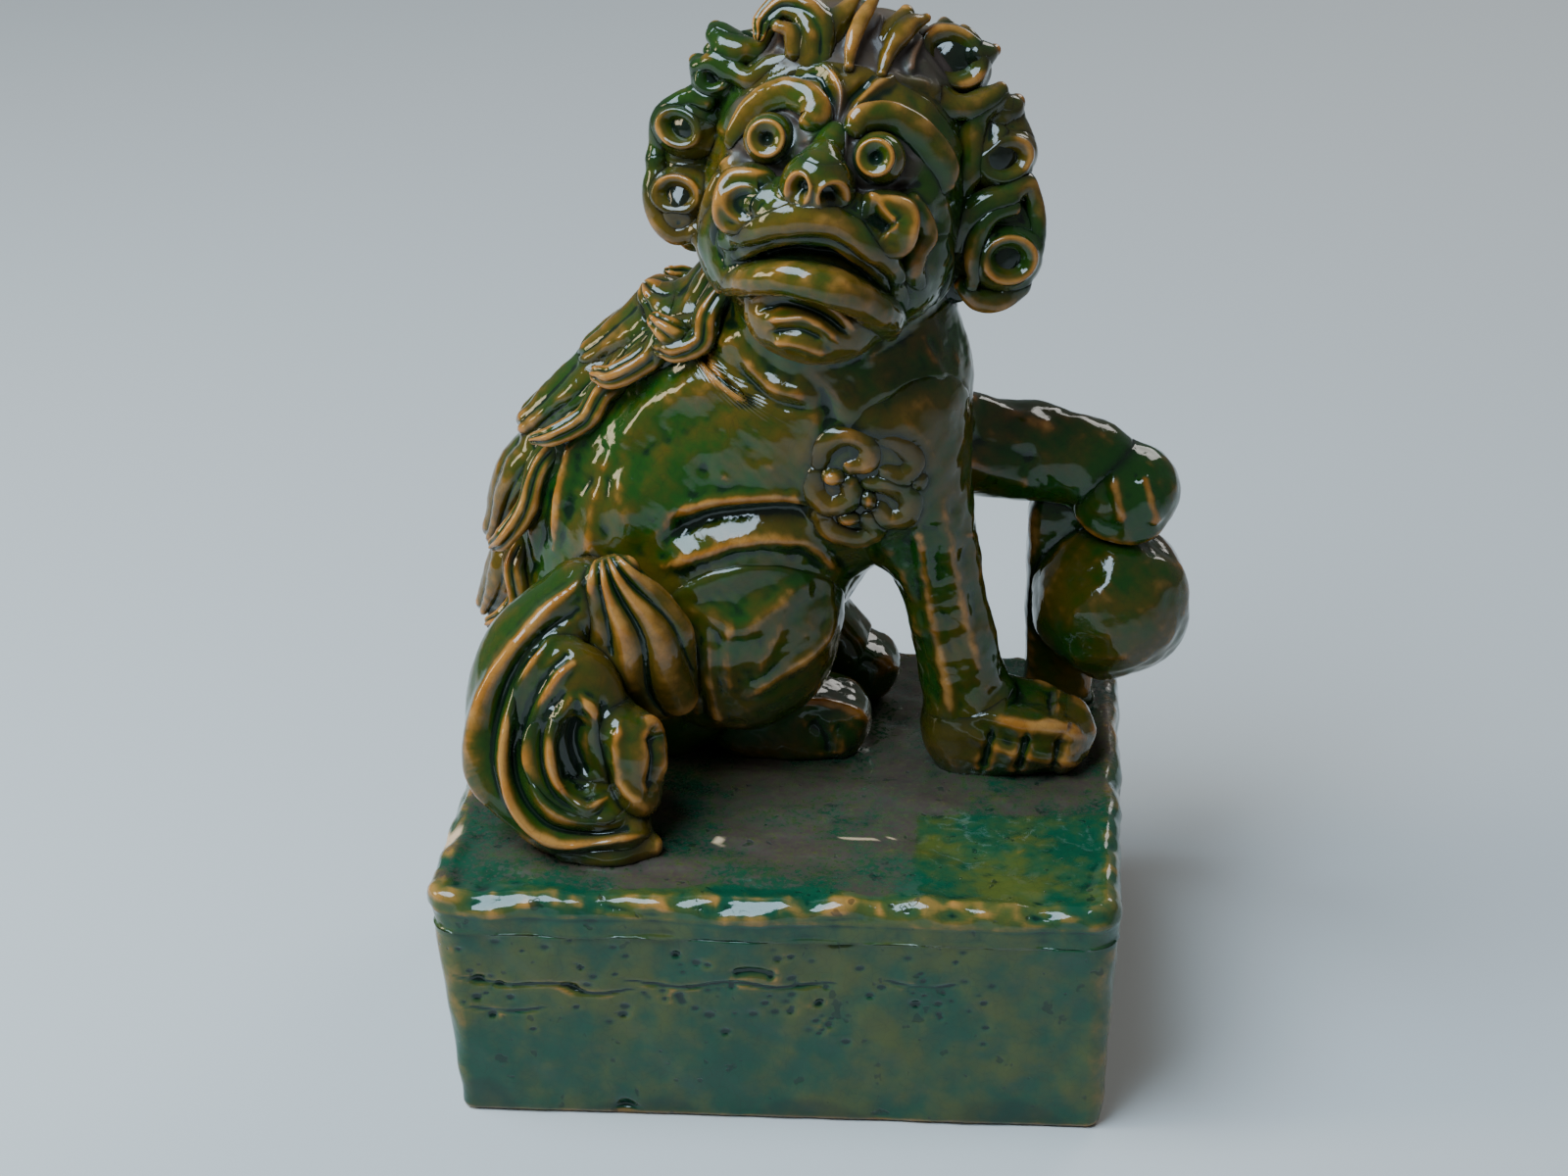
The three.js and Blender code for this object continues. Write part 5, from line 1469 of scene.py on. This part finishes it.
def make_piece(name):
    """One mesh from a piece's shells, with what the glaze needs stored at each point."""
    done = [finish_shell(s) for s in pieces[name]["shells"]]
    starts = np.cumsum([0] + [len(d["p"]) for d in done])
    mesh = mesh_of(
        name + "_clay", np.vstack([d["p"] for d in done]) * MM,
        np.vstack([d["quads"] + s for d, s in zip(done, starts)]),
        np.vstack([d["tris"] + s for d, s in zip(done, starts)]))
    for key in ("bend", "seam_shade_and_pool", "wet", "chip"):
        layer = mesh.attributes.new(key, "FLOAT", "POINT")
        layer.data.foreach_set("value", np.concatenate([d[key] for d in done]).astype(np.float32))
    piece = bpy.data.objects.new("clay_" + name, mesh)
    bpy.context.scene.collection.objects.link(piece)
    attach(piece, "root")
    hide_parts(name)
    mesh.materials.append(glazes[pieces[name]["slot"]])
    return piece


print(len(pieces), "pieces are waiting for their glaze")

# %% [markdown]
# ## The glaze
# A lead glaze coloured with copper runs while it melts. On ridges it is thin and shows the
# tan clay as amber, in hollows it is thick and nearly black green, and on flat ground it is a
# mottled bottle green. The shader reads the bend stored in the clay and mixes by it.

# %% Writing shader maths as expressions
class Wire:
    """A socket that can be added, multiplied and so on. Each operator adds one Math node."""

    def __init__(self, tree, socket):
        self.tree, self.socket = tree, socket

    def maths(self, operation, a, b):
        """One Math node on two wires or numbers."""
        return self.tree.node("ShaderNodeMath", dict(operation=operation), [a, b])

    def __add__(self, o): return self.maths("ADD", self, o)
    def __radd__(self, o): return self.maths("ADD", o, self)
    def __sub__(self, o): return self.maths("SUBTRACT", self, o)
    def __rsub__(self, o): return self.maths("SUBTRACT", o, self)
    def __mul__(self, o): return self.maths("MULTIPLY", self, o)
    def __rmul__(self, o): return self.maths("MULTIPLY", o, self)


class Finish:
    """A material's nodes. `node` adds one node: its settings first, then its inputs."""

    def __init__(self, name):
        self.material = bpy.data.materials.new(name)
        self.material.use_nodes = True
        self.nodes, self.links = self.material.node_tree.nodes, self.material.node_tree.links
        self.nodes.clear()

    def node(self, kind, settings=None, inputs=None, output=0):
        n = self.nodes.new(kind)
        for key, value in (settings or {}).items():
            setattr(n, key, value)
        items = inputs.items() if isinstance(inputs, dict) else enumerate(inputs or [])
        for key, value in items:
            if isinstance(value, Wire):
                self.links.new(value.socket, n.inputs[key])
            elif value is not None:
                n.inputs[key].default_value = value
        return Wire(self, n.outputs[output]) if len(n.outputs) else n

    def clamp(self, value, low, high, to_low=0.0, to_high=1.0):
        """A smooth step from one value to another as the input crosses a range."""
        return self.node("ShaderNodeMapRange", dict(interpolation_type="SMOOTHSTEP"),
            [value, low, high, to_low, to_high])

    def larger(self, a, b):
        """The greater of two values."""
        return self.node("ShaderNodeMath", dict(operation="MAXIMUM"), [a, b])

    def stored(self, name):
        """A value stored at the mesh's points."""
        return self.node("ShaderNodeAttribute", dict(attribute_name=name), output=2)

    def noise(self, where, scale, detail=3.0, rough=0.55):
        """Cloudy noise, whose scale is in clouds to the metre."""
        return self.node("ShaderNodeTexNoise", {}, {"Vector": where, "Scale": scale, "Detail": detail,
            "Roughness": rough})

    def mix(self, share, a, b):
        """Two colours mixed by a share. The Mix node's colour sockets are numbers 6 and 7."""
        n = self.nodes.new("ShaderNodeMix")
        n.data_type = "RGBA"
        for key, value in ((0, share), (6, a), (7, b)):
            if isinstance(value, Wire):
                self.links.new(value.socket, n.inputs[key])
            else:
                n.inputs[key].default_value = value
        return Wire(self, n.outputs[2])


def colour(code):
    """A web colour as linear light."""
    c = [int(code[i:i + 2], 16) / 255 for i in (0, 2, 4)]
    return tuple(x / 12.92 if x < 0.04045 else ((x + 0.055) / 1.055) ** 2.4 for x in c) + (1.0,)


def tone(code):
    """The same, a twentieth darker."""
    return tuple(0.95 * c for c in colour(code)[:3]) + (1.0,)


print("amber as linear light:", [round(c, 3) for c in tone("9c5f1c")[:3]])

# %% [markdown]
# One recipe serves the four glazes. Green and olive clouds lie underneath. Amber comes where
# the bend is positive, dark green where it is negative or where glaze has pooled in a hollow,
# and near a seam between pieces as painted shade.
# Dust settles on faces that look up, a fine net of crazing runs through it all, and chips show
# the bare clay. Dust and chips are dull, and all the rest is as glossy as glass.

# %% The glaze itself
clay_tan, dust_brown, bare_clay, craze_dark = "b07a3c", "43342e", "d8b48c", "171a12"


def glaze(name, green, olive, amber, dark, dusty, rough=0.07, amber_at=0.10, pits=0.3, dust_at=0.8):
    """Layers of colour: each is mixed over the last by a mask of bend, of painted seam shade with pooled glaze, of
    dust or of chip.
    """
    f = Finish(name)
    where = f.node("ShaderNodeTexCoord", output=3)
    bend, seam_shade_and_pool, wet, chip = (f.stored(key) for key in ("bend", "seam_shade_and_pool", "wet", "chip"))
    up = f.node("ShaderNodeSeparateXYZ", {}, [f.node("ShaderNodeNewGeometry", output=1)], output=2)
    big, small = f.noise(where, 38.0, 4.0), f.noise(where, 190.0, 3.0)
    fine = f.noise(where, 900.0, 2.0)
    body = f.mix(f.clamp(big + small * 0.4 + bend * 0.8, 0.56, 0.90), tone(green), tone(olive))
    thin = f.clamp(bend + (small - 0.5) * 0.22 + (big - 0.5) * 0.16, amber_at * 0.6, amber_at * 2.6)
    body = f.mix(thin * 0.92, body, f.mix(f.clamp(small, 0.35, 0.65), tone(amber), tone(clay_tan)))
    thick = f.clamp(0.0 - bend + (small - 0.5) * 0.05, 0.02, 0.16)
    # Painted shade near seams between pieces, with dark glaze pooled in hollows, turns the glaze dark here.
    deep = f.larger(thick * 0.85, f.clamp(seam_shade_and_pool, 0.25, 0.9) * 0.9)
    body = f.mix(deep, body, tone(dark))
    specks = f.clamp(fine * 0.5 + big * 0.6, 0.38, 0.70)
    dust = f.clamp(up, dust_at, 0.99) * specks * dusty * (1.0 - f.clamp(wet, 0.0, 1.0))
    dust = f.larger(dust, f.clamp(0.0 - wet + (small - 0.5) * 0.6, 0.1, 0.9) * 0.85)
    body = f.mix(dust, body, tone(dust_brown))
    holes = f.clamp(f.noise(where, 240.0, 2.0), 0.66, 0.70) * pits
    body = f.mix(holes * 0.8, body, tone(dark))
    body = f.mix(chip, body, tone(bare_clay))
    cracks = f.node("ShaderNodeTexVoronoi", dict(feature="DISTANCE_TO_EDGE"), {"Vector": where, "Scale": 420.0})
    craze = f.clamp(cracks, 0.0, 0.05)
    body = f.mix((1.0 - craze) * 0.18, body, colour(craze_dark))
    tops = f.noise(where, 260.0, 2.0) * 0.5 + f.noise(where, 120.0, 2.0)
    bump = f.node("ShaderNodeBump", {}, {"Strength": 0.35, "Distance": 0.0006,
        "Height": tops + craze * 0.02 - holes * 0.8 - chip * 0.6})
    shader = f.node("ShaderNodeBsdfPrincipled", {}, {
        "Base Color": body, "Roughness": f.clamp(dust + chip, 0.05, 0.7, rough, 0.55), "Normal": bump,
        "IOR": 1.46, "Coat Weight": 0.1, "Coat Roughness": 0.03})
    f.node("ShaderNodeOutputMaterial", {}, [shader])
    return f.material


glazes = {
    "body_glaze": glaze("body_glaze", "17400e", "4e400c", "9c5f1c", "04150f", 0.3, amber_at=0.12, pits=0.0),
    "mane_glaze": glaze("mane_glaze", "223e10", "56420e", "ac6a28", "071512", 0.4, amber_at=0.14, pits=0.0),
    "face_glaze": glaze("face_glaze", "24420d", "5a4610", "ac6c28", "061816", 0.3, amber_at=0.14, pits=0.0),
    "plinth_glaze": glaze("plinth_glaze", "0a4630", "4a5222", "97723a", "041e18", 1.0, amber_at=0.12, pits=0.7,
        dust_at=0.6),
}
print("glazes:", ", ".join(glazes))

# %% [markdown]
# All is ready now: each piece is welded, pressed, glazed and put in the scene. The last line
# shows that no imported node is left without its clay.

# %% Make every piece
made = [make_piece(name) for name in pieces]
faces = [len(o.data.polygons) for o in made]
print(len(made), "pieces,", sum(faces), "faces, the most in one piece", max(faces))
print("packed nodes still showing:", sorted(set(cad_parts) - set(pieces)))

# %% [markdown]
# ## Floor, light and camera
# The statue stands on a pale matt floor, which throws some light back up into its folds.

# %% Floor
side = 3.0
floor_mesh = bpy.data.meshes.new("floor")
floor_mesh.from_pydata([(-side, -side, 0), (side, -side, 0), (side, side, 0), (-side, side, 0)], [], [(0, 1, 2, 3)])
floor = bpy.data.objects.new("floor", floor_mesh)
bpy.context.scene.collection.objects.link(floor)
pale = Finish("pale_floor")
pale.node("ShaderNodeOutputMaterial", {},
    [pale.node("ShaderNodeBsdfPrincipled", {}, {"Base Color": (0.55, 0.55, 0.54, 1), "Roughness": 0.9})])
floor_mesh.materials.append(pale.material)
print("the floor is", 2 * side, "m across")

# %% [markdown]
# The glaze is a mirror, so the shapes of the lights are what one sees of the gloss. A large soft
# window light stands high on the left in front, a low warm one beside it and a weak one behind,
# in a dim room.

# %% Lights
from mathutils import Matrix, Vector

aim_height = 0.12


def window(name, direction, distance, size, watts, tint):
    """An area light that looks at the lion's middle from a direction."""
    lamp = bpy.data.lights.new(name, "AREA")
    lamp.shape, lamp.size, lamp.size_y, lamp.energy, lamp.color = "RECTANGLE", size[0], size[1], watts, tint
    o = bpy.data.objects.new(name, lamp)
    aim = Vector(direction).normalized()
    o.matrix_world = Matrix.Translation(Vector((0, 0, aim_height)) + aim * distance) @ aim.to_track_quat("Z",
        "Y").to_matrix().to_4x4()
    bpy.context.scene.collection.objects.link(o)


window("key_window", (-0.42, -0.30, 0.85), 1.1, (0.95, 0.62), 27, (0.62, 0.82, 1.0))
window("warm_side", (-0.95, -0.15, 0.35), 1.3, (0.30, 0.5), 6.0, (1.0, 0.84, 0.55))
window("back_fill", (0.5, 0.8, 0.6), 1.4, (0.5, 0.5), 4.0, (1.0, 0.97, 0.92))
world = bpy.data.worlds.new("room")
world.use_nodes = True
world.node_tree.nodes["Background"].inputs[0].default_value = (0.9, 0.95, 1.0, 1)
world.node_tree.nodes["Background"].inputs[1].default_value = 0.2
bpy.context.scene.world = world

# %% [markdown]
# The camera looks down on the statue a little from the right. Its directions are worked out
# from three angles: yaw round the upright, pitch down, and a slight roll, as a hand holds it.

# %% Camera
camera_data = bpy.data.cameras.new("camera")
camera = bpy.data.objects.new("camera", camera_data)
bpy.context.scene.collection.objects.link(camera)
camera_data.lens, camera_data.sensor_width = 74.25, 36
yaw, pitch, roll = math.radians(5.47), math.radians(27), math.radians(-1.5)
ahead = Vector((-math.sin(yaw) * math.cos(pitch), math.cos(yaw) * math.cos(pitch), -math.sin(pitch)))
right = Vector((math.cos(yaw), math.sin(yaw), 0))
upward = right.cross(ahead)
right, upward = right * math.cos(roll) + upward * math.sin(roll), upward * math.cos(roll) - right * math.sin(roll)
eye = Vector(((middle[0] + 60.4) * MM, -0.6376, 0.4314))
camera.matrix_world = Matrix.Translation(eye) @ Matrix((right, upward, -ahead)).transposed().to_4x4()
bpy.context.scene.camera = camera
print("camera at", [round(v, 3) for v in eye])
